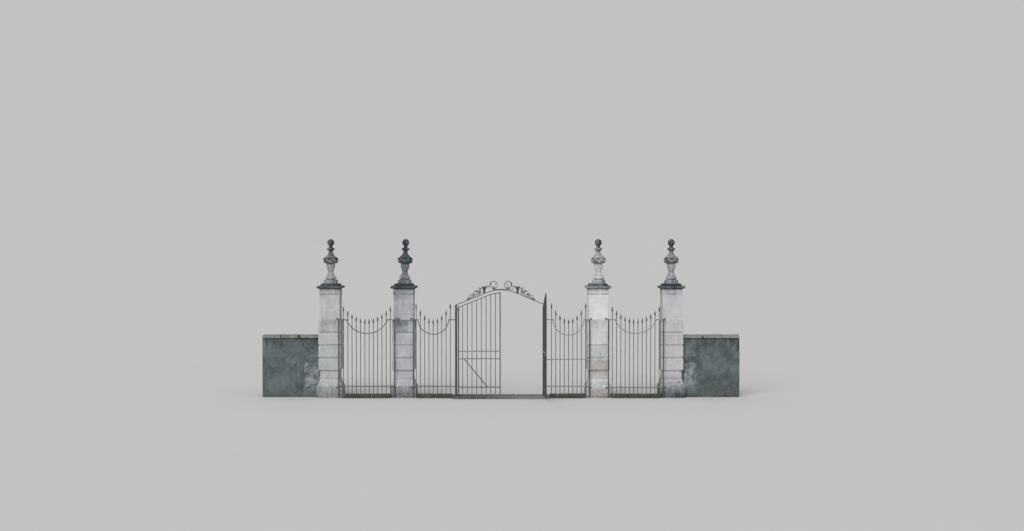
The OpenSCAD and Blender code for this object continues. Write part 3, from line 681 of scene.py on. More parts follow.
def add_stone(M, profile, key, kind, seed, cx=None, r=0.006, step=0.014, n=24, corner=0.009, chip=0.010,
              rough=0.0022, crust=0.0, tilt=0.0, flush=None):
    v, f, e, c, both = square_loft(profile, r, step, n, corner)
    if flush:
        # the bed is pointed up over the face and only open at the arrises
        q = 1 - np.exp(-((v[:, 2] - flush) / 0.020) ** 2) * (1 - smooth(0.262, 0.290, np.minimum(np.abs(v[:, 0]), np.abs(v[:, 1]))))
        e, c = e * q, c * q
    v, broken = weather(v, f, e, c, both, seed, chip, rough)
    cx = PIERS[key] if cx is None else cx
    if tilt:
        cz = v[:, 2].mean()
        v[:, 0] += (v[:, 2] - cz) * tilt
    v = v + np.array([cx, PIER_Y, 0])
    at = stone_attrs(v, key, kind)
    c = c * (1 - 0.8 * np.exp(-((v[:, 2] - 2.795) / 0.02) ** 2))
    at["soot"] = at["soot"] + 0.50 * c * (0.5 + 0.5 * noise(v, 0.06, seed + 2)) + crust
    at["broken"] = broken * (1 - np.clip(at["soot"], 0, 1))
    M.add(v, f, **at)


def build_pier(key, k):
    mat = STONE[key]
    s = 100 * k
    M = Mesh()
    add_stone(M, BASE_P, key, "base", s + 1, r=0.010, chip=0.016, corner=0.014)
    M.build(f"stone_base_{key}", mat, "gateway", [f"pier_{key}_base"])
    M = Mesh()
    add_stone(M, COURSE_P, key, "shaft", s + 2, chip=0.010)
    rng = np.random.default_rng(k)
    for i, z in enumerate(BLOCK_Z):
        d = rng.uniform(0.0006, 0.0034)
        if key == "inner_right" and i > 1:
            d = 0.0016
        h = 0.309 - d
        top = z + 0.345
        flush = None
        prof = [(0.282, z + 0.0005), (0.284, z + 0.006), (h - 0.006, z + 0.014), (h, z + 0.026),
                (h, top - 0.026), (h - 0.006, top - 0.014), (0.284, top - 0.006), (0.282, top - 0.0005)]
        # a bed that is pointed up flush
        if key == "inner_right" and i == 2:
            prof[4:] = [(h, top - 0.004), (h - 0.0004, top + 0.0002)]
            flush = top
        if key == "inner_right" and i == 3:
            prof[:4] = [(h - 0.0004, z - 0.0002), (h, z + 0.004)]
            flush = z
        add_stone(M, prof, key, "shaft", s + 10 + i, r=0.007, chip=0.013, corner=0.012, tilt=rng.uniform(-0.002, 0.002), flush=flush)
    add_stone(M, UPPER_P, key, "shaft", s + 3, r=0.006, chip=0.009)
    M.build(f"stone_shaft_{key}", mat, "gateway", [f"pier_{key}_shaft"])
    M = Mesh()
    add_stone(M, CAP_P, key, "cap", s + 4, r=0.005, step=0.010, chip=0.014, corner=0.008, rough=0.003)
    M.build(f"stone_cap_{key}", mat, "gateway", [f"pier_{key}_cap"])


def urn_profile():
    ball = [(0.098 * math.cos(math.radians(a)), 4.200 + 0.098 * math.sin(math.radians(a))) for a in range(-60, 90, 10)]
    return [(0.124, 3.188), (0.124, 3.211), (0.149, 3.215), (0.155, 3.228), (0.154, 3.244), (0.142, 3.262),
            (0.118, 3.290), (0.098, 3.325), (0.084, 3.362), (0.073, 3.400), (0.073, 3.424), (0.080, 3.430),
            (0.090, 3.440), (0.090, 3.452), (0.084, 3.460), (0.098, 3.482), (0.112, 3.524), (0.119, 3.566),
            (0.121, 3.594), (0.114, 3.602), (0.112, 3.628), (0.166, 3.638), (0.177, 3.645), (0.180, 3.655),
            (0.188, 3.664), (0.196, 3.694), (0.196, 3.734), (0.186, 3.766), (0.166, 3.794), (0.147, 3.812),
            (0.126, 3.831), (0.104, 3.850), (0.085, 3.871), (0.070, 3.898), (0.061, 3.929), (0.056, 3.960),
            (0.057, 3.982), (0.088, 3.991), (0.106, 4.005), (0.106, 4.040), (0.091, 4.053), (0.059, 4.063),
            (0.050, 4.078), (0.050, 4.104)] + ball + [(0.004, 4.2975)]


# how far each urn is set over and leans, in metres and degrees
URN_SET = {"outer_left": (0, 0), "inner_left": (0.014, 1.7), "inner_right": (0.024, -0.8), "outer_right": (0, 0)}


def build_urn(key, k):
    """An urn on its block: gadrooned bowl, garlands between bosses on the bulge, leaves on the shoulder."""
    off, lean = URN_SET[key]
    lean = math.radians(lean)
    cx = PIERS[key] + off
    s = 100 * k + 60
    M = Mesh()
    add_stone(M, [(0.175, 3.0855), (0.175, 3.172), (0.166, 3.190)], key, "urn", s, cx=cx, r=0.006, step=0.012, n=16, chip=0.012)
    pts, mark = fillet(urn_profile(), 0.003)
    P, edge, crev = resample(pts, mark, 0.008)
    C = 120
    th = np.arange(C) * 2 * PI / C
    R = P[:, 0][:, None] * np.ones(C)[None, :]
    Z = P[:, 1][:, None] * np.ones(C)[None, :]
    T = np.ones(len(P))[:, None] * th[None, :]
    # lobes round the lower bowl
    lob = np.abs(np.cos(8 * T)) ** 0.55
    w = smooth(3.462, 3.500, Z) * (1 - smooth(3.575, 3.598, Z))
    R += w * (0.012 * lob - 0.009)
    # lobes on the foot's flare
    w = smooth(3.256, 3.285, Z) * (1 - smooth(3.36, 3.398, Z))
    R += w * (0.006 * np.abs(np.cos(8 * T + 0.4)) ** 0.7 - 0.004)
    # garlands on the bulge
    six = (T * 6 / (2 * PI)) % 1.0
    a = six * 2 - 1
    zc = 3.768 - 0.072 * (1 - a ** 2)
    thick = 0.013 + 0.010 * (1 - a ** 2)
    body = np.exp(-((Z - zc) / thick) ** 4)
    P3 = np.stack([R * np.cos(T), R * np.sin(T), Z], -1).reshape(-1, 3)
    knobs = (0.5 + 0.5 * np.cos(T * 60 + 2.5 * np.sin(Z * 260))) * (0.5 + 0.5 * np.cos((Z - zc) * 330))
    R += body * (0.0085 + 0.0065 * knobs) * smooth(3.655, 3.675, Z)
    # bosses and hanging drops where the garlands meet
    da = np.minimum(six, 1 - six) * (2 * PI / 6) * 0.19
    boss = np.exp(-((da / 0.020) ** 2 + ((Z - 3.768) / 0.022) ** 2) ** 1.4)
    petal = 0.5 + 0.5 * np.cos(5 * np.arctan2(Z - 3.768, (np.where(six > 0.5, six - 1, six)) * (2 * PI / 6) * 0.19))
    R += boss * (0.012 + 0.004 * petal)
    drop = np.exp(-(da / 0.0085) ** 4) * smooth(3.672, 3.690, Z) * (1 - smooth(3.748, 3.756, Z))
    R += drop * (0.007 + 0.003 * np.cos(Z * 420))
    # small beads round the lip
    w = np.exp(-((Z - 3.652) / 0.010) ** 4)
    R += w * 0.004 * (0.5 + 0.5 * np.cos(36 * T))
    # leaves on the shoulder
    w = smooth(3.812, 3.832, Z) * (1 - smooth(3.905, 3.930, Z))
    R += w * (0.008 * np.abs(np.cos(6 * T + 0.3)) ** 0.5 - 0.006 + 0.002 * np.cos(24 * T))
    # a faint twist of leaves on the ball
    w = smooth(4.118, 4.145, Z) * (1 - smooth(4.26, 4.29, Z))
    R += -w * 0.003 * smooth(0.75, 1.0, np.abs(np.cos(5 * T + 9 * (Z - 4.20))))
    verts = np.stack([R * np.cos(T), R * np.sin(T), Z], -1).reshape(-1, 3)
    faces = grid_faces(len(P), C)
    lo, hi = len(verts), len(verts) + 1
    verts = np.concatenate([verts, [[0, 0, P[0, 1]], [0, 0, 4.298]]])
    n = len(P)
    faces += [(lo, (j + 1) % C, j) for j in range(C)]
    faces += [(hi, (n - 1) * C + j, (n - 1) * C + (j + 1) % C) for j in range(C)]
    e = np.concatenate([np.repeat(edge, C), [0, 0]])
    c = np.concatenate([np.repeat(crev, C), [0, 0]])
    N = normals_of(verts, faces)
    up = verts[:, 2] - 3.185
    W = np.stack([verts[:, 0] * math.cos(lean) + up * math.sin(lean), verts[:, 1],
                  3.185 + up * math.cos(lean) - verts[:, 0] * math.sin(lean)], 1)
    N = np.stack([N[:, 0] * math.cos(lean) + N[:, 2] * math.sin(lean), N[:, 1], N[:, 2] * math.cos(lean) - N[:, 0] * math.sin(lean)], 1)
    W = W + np.array([cx, PIER_Y, 0])
    chips = smooth(0.45, 0.95, noise(W, 0.07, s + 5) + 0.5 * noise(W, 0.03, s + 6)) * e
    d = 0.0016 * (0.5 + 0.5 * fbm(W, 0.05, 3, s + 1)) + 0.008 * chips + 0.0012 * e
    W = W - N * d[:, None]
    at = stone_attrs(W, key, "urn")
    # hollows and the ground between garlands drawn darker, partly grime and partly painted shade; proud carving drawn
    # lighter, partly clean stone and partly painted highlight
    hollow_grime_and_shade = np.concatenate([(smooth(3.455, 3.5, Z) * (1 - smooth(3.58, 3.6, Z)) * (1 - lob)).ravel(), [0, 0]])
    relief_grime_and_shade = np.concatenate([(smooth(3.66, 3.69, Z) * (1 - smooth(3.79, 3.82, Z)) * (1 - np.clip(body + boss + drop, 0, 1))).ravel(), [0, 0]])
    at["soot"] = np.clip(at["soot"] + 0.55 * c + 0.30 * hollow_grime_and_shade + 0.35 * relief_grime_and_shade, 0, 1.3)
    proud_clean_and_lit = np.concatenate([(np.clip(body + boss + drop, 0, 1) * (0.4 + 0.6 * knobs)).ravel(), [0, 0]])
    at["dirt"] = np.clip(at["dirt"] + 0.25 * hollow_grime_and_shade + 0.25 * relief_grime_and_shade - 0.42 * proud_clean_and_lit, 0, 1)
    at["soot"] = at["soot"] * (1 - 0.6 * proud_clean_and_lit)
    at["broken"] = chips
    M.add(W, faces, **at)
    M.build(f"stone_urn_{key}", STONE[key], "gateway", [f"pier_{key}_urn"])


for k, key in enumerate(PIERS, 1):
    build_pier(key, k)
    build_urn(key, k)

# ------------------------------------------------------------------ slabs, kerbs, walls

def loop_points(pts, r, step):
    """A closed section from its corners: rounded, resampled, with a weight near each corner."""
    pts = [np.array(p, float) for p in pts]
    n = len(pts)
    out, wt = [], []
    for i in range(n):
        a, b, c = pts[i - 1], pts[i], pts[(i + 1) % n]
        la, lc = np.linalg.norm(a - b), np.linalg.norm(c - b)
        q = min(r, la * 0.4, lc * 0.4)
        p0, p2 = b + (a - b) / la * q, b + (c - b) / lc * q
        for t in (0, 0.33, 0.67, 1):
            out.append((1 - t) ** 2 * p0 + 2 * t * (1 - t) * b + t * t * p2)
            wt.append(1.0)
        nxt = pts[(i + 1) % n]
        lb = np.linalg.norm(pts[(i + 2) % n] - nxt)
        q2 = min(r, lc * 0.4, lb * 0.4)
        p3 = nxt + (b - nxt) / lc * q2
        k = max(1, int(math.ceil(np.linalg.norm(p3 - p2) / step)))
        for j in range(1, k):
            p = p2 + (p3 - p2) * j / k
            out.append(p)
            wt.append(math.exp(-min(np.linalg.norm(p - p2), np.linalg.norm(p - p3)) / 0.016))
    return np.array(out), np.array(wt)


def run_loft(section, x0, x1, r=0.008, step=0.02, round_r=0.006, caps=5):
    """A solid that runs along X with a closed (y, z) section and rounded ends."""
    S, w = loop_points(section, r, step)
    nxt, prv = np.roll(S, -1, 0), np.roll(S, 1, 0)
    t = nxt - prv
    t /= np.linalg.norm(t, axis=1, keepdims=True)
    area = 0.5 * np.sum(S[:, 0] * nxt[:, 1] - nxt[:, 0] * S[:, 1])
    out = np.stack([t[:, 1], -t[:, 0]], 1) * (1 if area > 0 else -1)
    cen = S.mean(0)
    n = max(2, int(math.ceil((x1 - x0 - 2 * round_r) / step)))
    xs = [x0 + round_r + (x1 - x0 - 2 * round_r) * i / n for i in range(n + 1)]
    rings, ew, cap = [], [], []
    ang = [0, 30, 60, 90]
    for a in ang[:-1]:
        q = round_r * (1 - math.sin(math.radians(a)))
        rings.append((x0 + round_r * (1 - math.cos(math.radians(a))), S - out * q))
    for x in xs:
        rings.append((x, S))
    for a in reversed(ang[:-1]):
        q = round_r * (1 - math.sin(math.radians(a)))
        rings.append((x1 - round_r * (1 - math.cos(math.radians(a))), S - out * q))
    inner0 = [(x0, cen + (rings[0][1] - cen) * (1 - (k / (caps + 1)))) for k in range(caps, 0, -1)]
    inner1 = [(x1, cen + (rings[-1][1] - cen) * (1 - (k / (caps + 1)))) for k in range(1, caps + 1)]
    allr = inner0 + rings + inner1
    V = np.array([[(x, p[0], p[1]) for p in R] for x, R in allr])
    rows, cols = V.shape[:2]
    verts = V.reshape(-1, 3)
    faces = grid_faces(rows, cols)
    e_end = np.array([math.exp(-min(abs(x - x0), abs(x - x1)) / 0.016) for x, R in allr])
    inside = np.array([1.0] * rows)
    for k in range(caps):
        inside[k] = 0.0
        inside[rows - 1 - k] = 0.0
    e = np.maximum(w[None, :] * inside[:, None], (e_end * inside)[:, None] * np.ones(cols)[None, :]).ravel()
    both = (w[None, :] * (e_end * inside)[:, None]).ravel()
    verts = np.concatenate([verts, [[x0, cen[0], cen[1]], [x1, cen[0], cen[1]]]])
    lo, hi = rows * cols, rows * cols + 1
    faces += [(lo, (j + 1) % cols, j) for j in range(cols)]
    faces += [(hi, (rows - 1) * cols + j, (rows - 1) * cols + (j + 1) % cols) for j in range(cols)]
    if volume_sign(verts - verts.mean(0), faces) < 0:
        faces = [tuple(reversed(f)) for f in faces]
    return verts, faces, np.concatenate([e, [0, 0]]), np.concatenate([both, [0, 0]])


def run_stones(name, node, section, x0, x1, count, mat, seed, r=0.010, step=0.022, chip=0.012, rough=0.003,
               gap=0.003, top=None, moss=0.5, soot=0.2, fade=None):
    """A row of stones laid end to end along X, each with its own wear."""
    M = Mesh()
    rng = np.random.default_rng(seed)
    cuts = np.linspace(x0, x1, count + 1)
    cuts[1:-1] += rng.uniform(-0.03, 0.03, count - 1)
    for i in range(count):
        a, b = cuts[i] + (gap / 2 if i else 0), cuts[i + 1] - (gap / 2 if i < count - 1 else 0)
        v, f, e, both = run_loft(section, a, b, r, step)
        v, broken = weather(v, f, e, np.zeros(len(v)), both, seed + 7 * i, chip, rough)
        zt = v[:, 2].max()
        n1 = fbm(v, 0.22, 3, seed + 3)
        end = np.exp(-np.minimum(np.abs(v[:, 0] - a), np.abs(v[:, 0] - b)) / 0.02)
        # fade makes the row darker towards its low-x end, through the dirt weight
        dim = 0.0 if fade is None else fade[2] * (1 - smooth(fade[0], fade[1], v[:, 0] + 0.25 * n1))
        M.add(v, f, broken=broken * 0.8, moss=np.clip(moss * (0.5 + n1) + 0.35 * end, 0, 1),
              dirt=np.clip(dim * (0.8 + 0.5 * n1), 0, 1) + 0 * end,
              soot=np.clip(soot * (0.5 + 1.2 * n1) + 0.25 * end + 0.25 * (1 - smooth(0, 0.03, v[:, 2])), 0, 1),
              warm=np.clip(0.25 * (0.3 + n1), 0, 1))
    return M.build(name, mat, "gateway", [node])


def cells(P, size, seed):
    """Distances to the nearest and second nearest of a jittered grid of points, in the plane of X and Z,
    and a random number for the nearest."""
    Q = np.stack([P[:, 0], P[:, 2] * 1.5], 1) / size
    Q = Q + 0.18 * np.stack([noise(P, size * 1.3, seed + 1), noise(P, size * 1.3, seed + 2)], 1)
    I = np.floor(Q).astype(np.int64)
    f1 = np.full(len(P), 9.0)
    f2 = np.full(len(P), 9.0)
    idn = np.zeros(len(P))
    for dx in (-1, 0, 1):
        for dz in (-1, 0, 1):
            C = I + np.array([dx, dz])
            jx = _lattice(C[:, 0], C[:, 1], C[:, 0] * 0 + 3, seed)
            jz = _lattice(C[:, 0], C[:, 1], C[:, 0] * 0 + 5, seed)
            d = np.hypot(C[:, 0] + 0.15 + 0.7 * jx - Q[:, 0], C[:, 1] + 0.15 + 0.7 * jz - Q[:, 1])
            near = d < f1
            f2 = np.where(near, f1, np.minimum(f2, d))
            idn = np.where(near, jx, idn)
            f1 = np.where(near, d, f1)
    return f1, f2, idn


def wing(side, seed):
    """A wing wall of rubble under old plaster that has fallen in places."""
    x0, x1 = 4.895, 6.4895
    sec = [(0.195, 0.0), (0.545, 0.0), (0.545, 1.5995), (0.195, 1.5995)]
    v, f, e, both = run_loft(sec, x0, x1, 0.010, 0.0175, 0.008, 6)
    N = normals_of(v, f)
    W = v * np.array([side, 1, 1])
    big = fbm(W, 0.75, 4, seed)
    edge = noise(W, 0.05, seed + 5) * 0.10 + noise(W, 0.02, seed + 6) * 0.04
    low = 0.34 * (1 - smooth(0.05, 0.55, W[:, 2]))
    tip = 0.22 * smooth(6.28, 6.49, v[:, 0])
    gone = smooth(0.43, 0.51, big + edge + low + tip + 0.12 * e)
    f1, f2, idn = cells(W, 0.21, seed + 9)
    joint = 1 - smooth(0.03, 0.15, f2 - f1)
    rubble = 0.015 + 0.010 * joint + 0.008 * (idn - 0.5) + 0.004 * noise(W, 0.03, seed + 11)
    plaster = 0.004 * (0.5 + 0.5 * fbm(W, 0.30, 3, seed + 13)) + 0.0012 * (0.5 + 0.5 * noise(W, 0.03, seed + 15)) + 0.006 * e
    d = plaster * (1 - gone) + rubble * gone
    v = v - N * d[:, None]
    W = v * np.array([side, 1, 1])
    n1 = fbm(W, 0.35, 3, seed + 21)
    streak = fbm(W * np.array([1, 1, 0.12]), 0.07, 3, seed + 23)
    moss = 0.9 * (1 - smooth(0.0, 0.42, W[:, 2] - 0.12 * n1)) * (0.7 + 0.5 * n1)
    soot = 0.65 * smooth(1.12, 1.60, W[:, 2] + 0.20 * streak) * (0.7 + 0.7 * streak) + 0.4 * (1 - smooth(0, 0.22, W[:, 2]))
    near = v[:, 0] - 4.95
    zz = W[:, 2] + 0.10 * n1
    patch = smooth(0.06, 0.26, zz) * (1 - smooth(0.92, 1.02, zz)) * (1 - smooth(0.30, 0.46, near + 0.24 * n1))
    patch = np.maximum(patch, 0.85 * smooth(1.07, 1.13, zz) * (1 - smooth(1.30, 1.40, zz)) * (1 - smooth(0.28, 0.50, near + 0.24 * n1)))
    pale = 0.60 * patch - 0.24 + 0.14 * (1 - smooth(0.5, 1.0, near))
    # a dark strip on the wall where it meets the pier, partly dirt and partly painted shadow; the wall also grows
    # darker away from the pier
    soot += 0.55 * (1 - smooth(0.0, 0.06, near)) + 0.22 * smooth(0.7, 1.4, near) * (0.5 + streak)
    M = Mesh()
    M.add(W, f, pale=pale, gone=gone, moss=np.clip(moss, 0, 1), soot=np.clip(soot + 0.45 * joint * gone, 0, 1.1), joint=joint * gone, tone=idn)
    nm = "right" if side > 0 else "left"
    M.build(f"wall_{nm}", PLASTER, "gateway", [f"wing_wall_{nm}"])


wing(1, 301)
wing(-1, 351)
for nm, sgn in (("right", 1), ("left", -1)):
    y = PIER_Y
    sec = [(y - 0.2095, 1.600), (y + 0.2095, 1.600), (y + 0.2095, 1.650), (y + 0.040, 1.6995), (y - 0.040, 1.6995), (y - 0.2095, 1.650)]
    a, b = (4.935, 6.4895) if sgn > 0 else (-6.4895, -4.935)
    run_stones(f"coping_{nm}", f"wing_coping_{nm}", sec, a, b, 3, COPING, 400 + 20 * sgn, r=0.014,
               step=0.020, chip=0.016, rough=0.006, gap=0.006, moss=0.85, soot=0.55)

SLAB = [(-0.2895, 0.0), (0.4295, 0.0), (0.4295, 0.0596), (-0.2895, 0.0596)]
run_stones("threshold_stones", "threshold", SLAB, -1.2995, 1.2995, 3, SILL, 450, r=0.012, step=0.026,
           chip=0.012, rough=0.0035, gap=0.004, moss=0.30, soot=0.10, fade=(-1.0, 1.2, 0.85))
KSEC = [(-0.0895, 0.0), (0.1495, 0.0), (0.1495, 0.100), (0.138, 0.1095), (-0.078, 0.1095), (-0.0895, 0.100)]
for nm, a, b, k in (("inner_right", 1.301, 2.296, 2), ("inner_left", -2.296, -1.301, 2),
                    ("outer_right", 2.984, 4.296, 3), ("outer_left", -4.296, -2.984, 3)):
    run_stones(f"kerb_stones_{nm}", f"kerb_{nm}", KSEC, a, b, k, KERB, 470 + int(10 * a), r=0.010,
               step=0.018, chip=0.016, rough=0.004, gap=0.004, moss=0.55, soot=0.25)


# ------------------------------------------------------------------ ironwork

POST_X, AXIS_X = 1.210, 1.145
SLOPE = math.radians(22.1)
ARCH_Z, LEAF_Z = 2.925, 2.840


def arch_at(x, z0, r):
    xt = r * math.sin(SLOPE)
    a = abs(x)
    if a < xt:
        return z0 - r + math.sqrt(r * r - a * a)
    return z0 - r * (1 - math.cos(SLOPE)) - (a - xt) * math.tan(SLOPE)


def sweep(M, path, w, d, ref=(0, 1, 0), sides=8, chamfer=0.22, round_ends=0.0, **attrs):
    """A bar along a path. w is its thickness across the path, d its depth along ref."""
    P = np.array(path, float)
    n = len(P)
    w = np.broadcast_to(np.asarray(w, float), (n,)).copy()
    d = np.broadcast_to(np.asarray(d, float), (n,)).copy()
    t = np.gradient(P, axis=0)
    t /= np.maximum(np.linalg.norm(t, axis=1, keepdims=True), 1e-12)
    ref = np.asarray(ref, float)
    b = ref - (t @ ref)[:, None] * t
    b /= np.linalg.norm(b, axis=1, keepdims=True)
    s = np.cross(t, b)
    if round_ends:
        for i, k in ((0, 0), (-1, 0)):
            w[i] *= 1 - round_ends
            d[i] *= 1 - round_ends
    if sides == 8:
        k = 1 - 2 * chamfer
        u = np.array([-k, k, 1, 1, k, -k, -1, -1]) / 2
        v = np.array([-1, -1, -k, k, 1, 1, k, -k]) / 2
    else:
        a = np.arange(sides) * 2 * PI / sides
        u, v = np.cos(a) / 2, np.sin(a) / 2
    rings = P[:, None, :] + s[:, None, :] * (u[None, :, None] * w[:, None, None]) + b[:, None, :] * (v[None, :, None] * d[:, None, None])
    verts = rings.reshape(-1, 3)
    c = len(u)
    faces = grid_faces(n, c)
    verts = np.concatenate([verts, [P[0], P[-1]]])
    lo, hi = n * c, n * c + 1
    faces += [(lo, (j + 1) % c, j) for j in range(c)]
    faces += [(hi, (n - 1) * c + j, (n - 1) * c + (j + 1) % c) for j in range(c)]
    for k, val in attrs.items():
        if np.ndim(val):
            attrs[k] = np.concatenate([np.repeat(val, c), [val[0], val[-1]]])
    M.add(verts, faces, **attrs)


def spots_near(holes, lo, hi, step, spread=(-0.016, -0.010, -0.005, 0.0, 0.005, 0.010, 0.016)):
    """Sample positions from lo to hi, closer together about each hole."""
    s = list(np.linspace(lo, hi, max(2, int(math.ceil((hi - lo) / step)) + 1)))
    for h in holes:
        s += [h + q for q in spread if lo < h + q < hi]
    s = sorted(s)
    out = [s[0]]
    for x in s[1:]:
        if x - out[-1] > 0.0025:
            out.append(x)
    out[-1] = hi
    return np.array(out)


def swell(x, holes, width=0.011):
    r = np.zeros(len(x))
    for h in holes:
        r += np.exp(-((x - h) / width) ** 2)
    return np.minimum(r, 1)


def rail(M, x0, x1, z, h, d, holes=(), step=0.04, y=0.0, grow=0.005, seed=0, chalky=0.0):
    """A rail along X at height z (a number or a function of x), swelling where a bar passes through."""
    x = spots_near(holes, x0, x1, step)
    zz = np.array([z(q) for q in x]) if callable(z) else np.full(len(x), z)
    g = swell(x, holes)
    P = np.stack([x, np.full(len(x), y), zz], 1)
    P[:, 2] += 0.0009 * noise(P, 0.25, seed + 3)
    P[:, 1] += 0.0009 * noise(P, 0.25, seed + 4)
    sweep(M, P, h + 0.0016 * g, d + grow * g, rust=0.10 + 0.10 * g, chalky=chalky)
    for q in holes:
        zq = z(q) if callable(z) else z
        M.spot((q, y, zq + h / 2), (q, y, zq - h / 2))


def upright(M, x, z0, z1, w, d, y=0.0, joints=(), seed=0, wob=0.0010, step=0.05, foot=None, chamfer=0.16, shade=0.0):
    """A vertical bar, slightly uneven from the hammer."""
    z = spots_near(joints, z0, z1, step, (-0.02, 0.0, 0.02))
    P = np.stack([np.full(len(z), x), np.full(len(z), y), z], 1)
    k = smooth(z0, z0 + 0.08, z) * (1 - smooth(z1 - 0.08, z1, z))
    P[:, 0] += wob * noise(P, 0.45, seed) * k
    P[:, 1] += wob * noise(P, 0.45, seed + 1) * k
    th = 1 + 0.02 * noise(P, 0.09, seed + 2)
    W = w * th
    D = d * th
    if foot:
        W[z < z0 + 0.001] = foot
        D[z < z0 + 0.001] = foot
    rust = 0.16 * (1 - smooth(0.10, 0.55, z)) + 0.03
    sweep(M, P, W, D, chamfer=chamfer, rust=rust, shade=shade)


def revolve(M, x, y, prof, sides=20, axis="z", z=0.0, **attrs):
    """A turned solid from (radius, height) points round a vertical axis, or an axis along Y."""
    a = np.arange(sides) * 2 * PI / sides
    R = np.array([p[0] for p in prof])[:, None]
    H = np.array([p[1] for p in prof])[:, None] * np.ones(sides)[None, :]
    C, S = R * np.cos(a)[None, :], R * np.sin(a)[None, :]
    V = np.stack([C + x, S + y, H], -1) if axis == "z" else np.stack([C + x, H + y, S + z], -1)
    n = len(prof)
    verts = V.reshape(-1, 3)
    faces = grid_faces(n, sides)
    ends = [[x, y, prof[0][1]], [x, y, prof[-1][1]]] if axis == "z" else [[x, y + prof[0][1], z], [x, y + prof[-1][1], z]]
    verts = np.concatenate([verts, ends])
    lo, hi = n * sides, n * sides + 1
    faces += [(lo, (j + 1) % sides, j) for j in range(sides)]
    faces += [(hi, (n - 1) * sides + j, (n - 1) * sides + (j + 1) % sides) for j in range(sides)]
    M.add(verts, faces, **attrs)


def ball(M, x, y, z, r, sides=20, flat=1.0, **attrs):
    revolve(M, x, y, [(max(r * math.cos(t), 0.0004), z + flat * r * math.sin(t)) for t in np.linspace(-PI / 2, PI / 2, sides // 2 + 1)],
            sides, **attrs)


def rivet(M, x, z, y, sign, r=0.0065, h=0.0035):
    """A hammered dome on a face whose outward side is sign along Y."""
    prof = [(r * 1.0, -0.002 * sign), (r, 0.0), (r * 0.86, h * 0.55 * sign), (r * 0.55, h * 0.9 * sign), (r * 0.1, h * sign)]
    revolve(M, x, y, prof, 12, "y", z, rust=0.25)


def clip(M, x, z, ang, w, h, d, **attrs):
    """A collar of iron wrapped round bars: centre, direction of the bar in degrees, length along it, height, depth."""
    a = math.radians(ang)
    c = np.array([x, 0, z])
    t = np.array([math.cos(a), 0, math.sin(a)])
    s = np.linspace(-0.5, 0.5, 6)
    k = np.array([0.90, 1.0, 1.02, 1.02, 1.0, 0.90])
    sweep(M, c + t * (s * w)[:, None], h * k, d * k, chamfer=0.14, rust=0.22, **attrs)
    M.spot((x, 0, z))


TIP = [(0.000, 6.0, 6.0), (0.008, 6.5, 6.2), (0.016, 8.0, 5.6), (0.026, 12.0, 5.2), (0.040, 17.0, 5.2), (0.054, 20.5, 5.5),
       (0.068, 22.0, 5.6), (0.082, 21.8, 5.3), (0.096, 20.0, 5.0), (0.112, 16.8, 4.5), (0.128, 13.4, 4.0),
       (0.144, 10.0, 3.4), (0.158, 7.0, 2.8), (0.170, 4.0, 2.1), (0.1815, 0.8, 0.8)]


def tip(M, x, z, rng):
    """The forged leaf at the top of a bar, with a midrib, over a small knop."""
    s = np.array([p[0] for p in TIP])
    W = np.array([p[1] for p in TIP]) / 1000
    T = np.array([p[2] for p in TIP]) / 1000
    u = np.array([-1, -0.72, -0.40, -0.13, 0.0, 0.13, 0.40, 0.72, 1, 0.72, 0.40, 0.13, 0.0, -0.13, -0.40, -0.72])
    v = np.array([0, -0.42, -0.60, -0.66, -1.0, -0.66, -0.60, -0.42, 0, 0.42, 0.60, 0.66, 1.0, 0.66, 0.60, 0.42])
    flat = smooth(0.004, 0.030, s)
    ur, vr = np.cos(np.linspace(PI, 3 * PI, 17)[:-1]), np.sin(np.linspace(PI, 3 * PI, 17)[:-1])
    U = u[None, :] * flat[:, None] + ur[None, :] * (1 - flat[:, None])
    V = v[None, :] * flat[:, None] + vr[None, :] * (1 - flat[:, None])
    X = U * W[:, None]
    lean, bow, spin = rng.normal(0, 0.010), rng.normal(0, 0.0022), rng.normal(0, 0.10)
    Y = V * T[:, None] + 0.0025 * np.abs(U) ** 2 * flat[:, None] * (1 if rng.random() < 0.7 else -1)
    z0 = z - 0.182
    c, sn = math.cos(spin), math.sin(spin)
    px = x + X * c - Y * sn + (lean * s + bow * (s / 0.18) ** 2)[:, None]
    py = X * sn + Y * c + (rng.normal(0, 0.012) * s)[:, None]
    pz = z0 + s[:, None] + 0 * X
    verts = np.stack([px, py, pz], -1).reshape(-1, 3)
    n, k = len(s), 16
    faces = grid_faces(n, k)
    verts = np.concatenate([verts, [[px[0].mean(), py[0].mean(), z0], [px[-1].mean(), py[-1].mean(), min(z, z0 + 0.1819)]]])
    lo, hi = n * k, n * k + 1
    faces += [(lo, (j + 1) % k, j) for j in range(k)]
    faces += [(hi, (n - 1) * k + j, (n - 1) * k + (j + 1) % k) for j in range(k)]
    M.add(verts, faces, rust=0.06)
    q = z0 + 0.004
    revolve(M, x, 0, [(0.0085, q - 0.012), (0.0118, q - 0.010), (0.0135, q - 0.005), (0.0118, q), (0.0080, q + 0.003),
                      (0.0070, q + 0.008)], 12, rust=0.2)


INNER = dict(c=1.829, n=9, hs=0.415, dp=0.414, z0=2.150, rise=0.245, reach=0.351, xa=None, xb=2.386, low=0.316)
OUTER = dict(c=3.646, n=12, hs=0.554, dp=0.373, z0=2.149, rise=0.168, reach=0.446, xa=2.894, xb=4.386, low=0.284)
SIDE = {("inner", 1): {**INNER, "xb": 2.397}, ("inner", -1): {**INNER, "dp": 0.394, "xb": 2.365},
        ("outer", 1): {**OUTER, "xa": 2.910, "xb": 4.393}, ("outer", -1): {**OUTER, "c": 3.620, "low": 0.316, "xa": 2.875}}
PITCH = 0.1152
SHOULDER = 2.117
MID_Z = 1.044
LEAF_RAILS = (0.294, 1.062, 1.264)


def mirror_x(P):
    return P * np.array([-1.0, 1.0, 1.0])


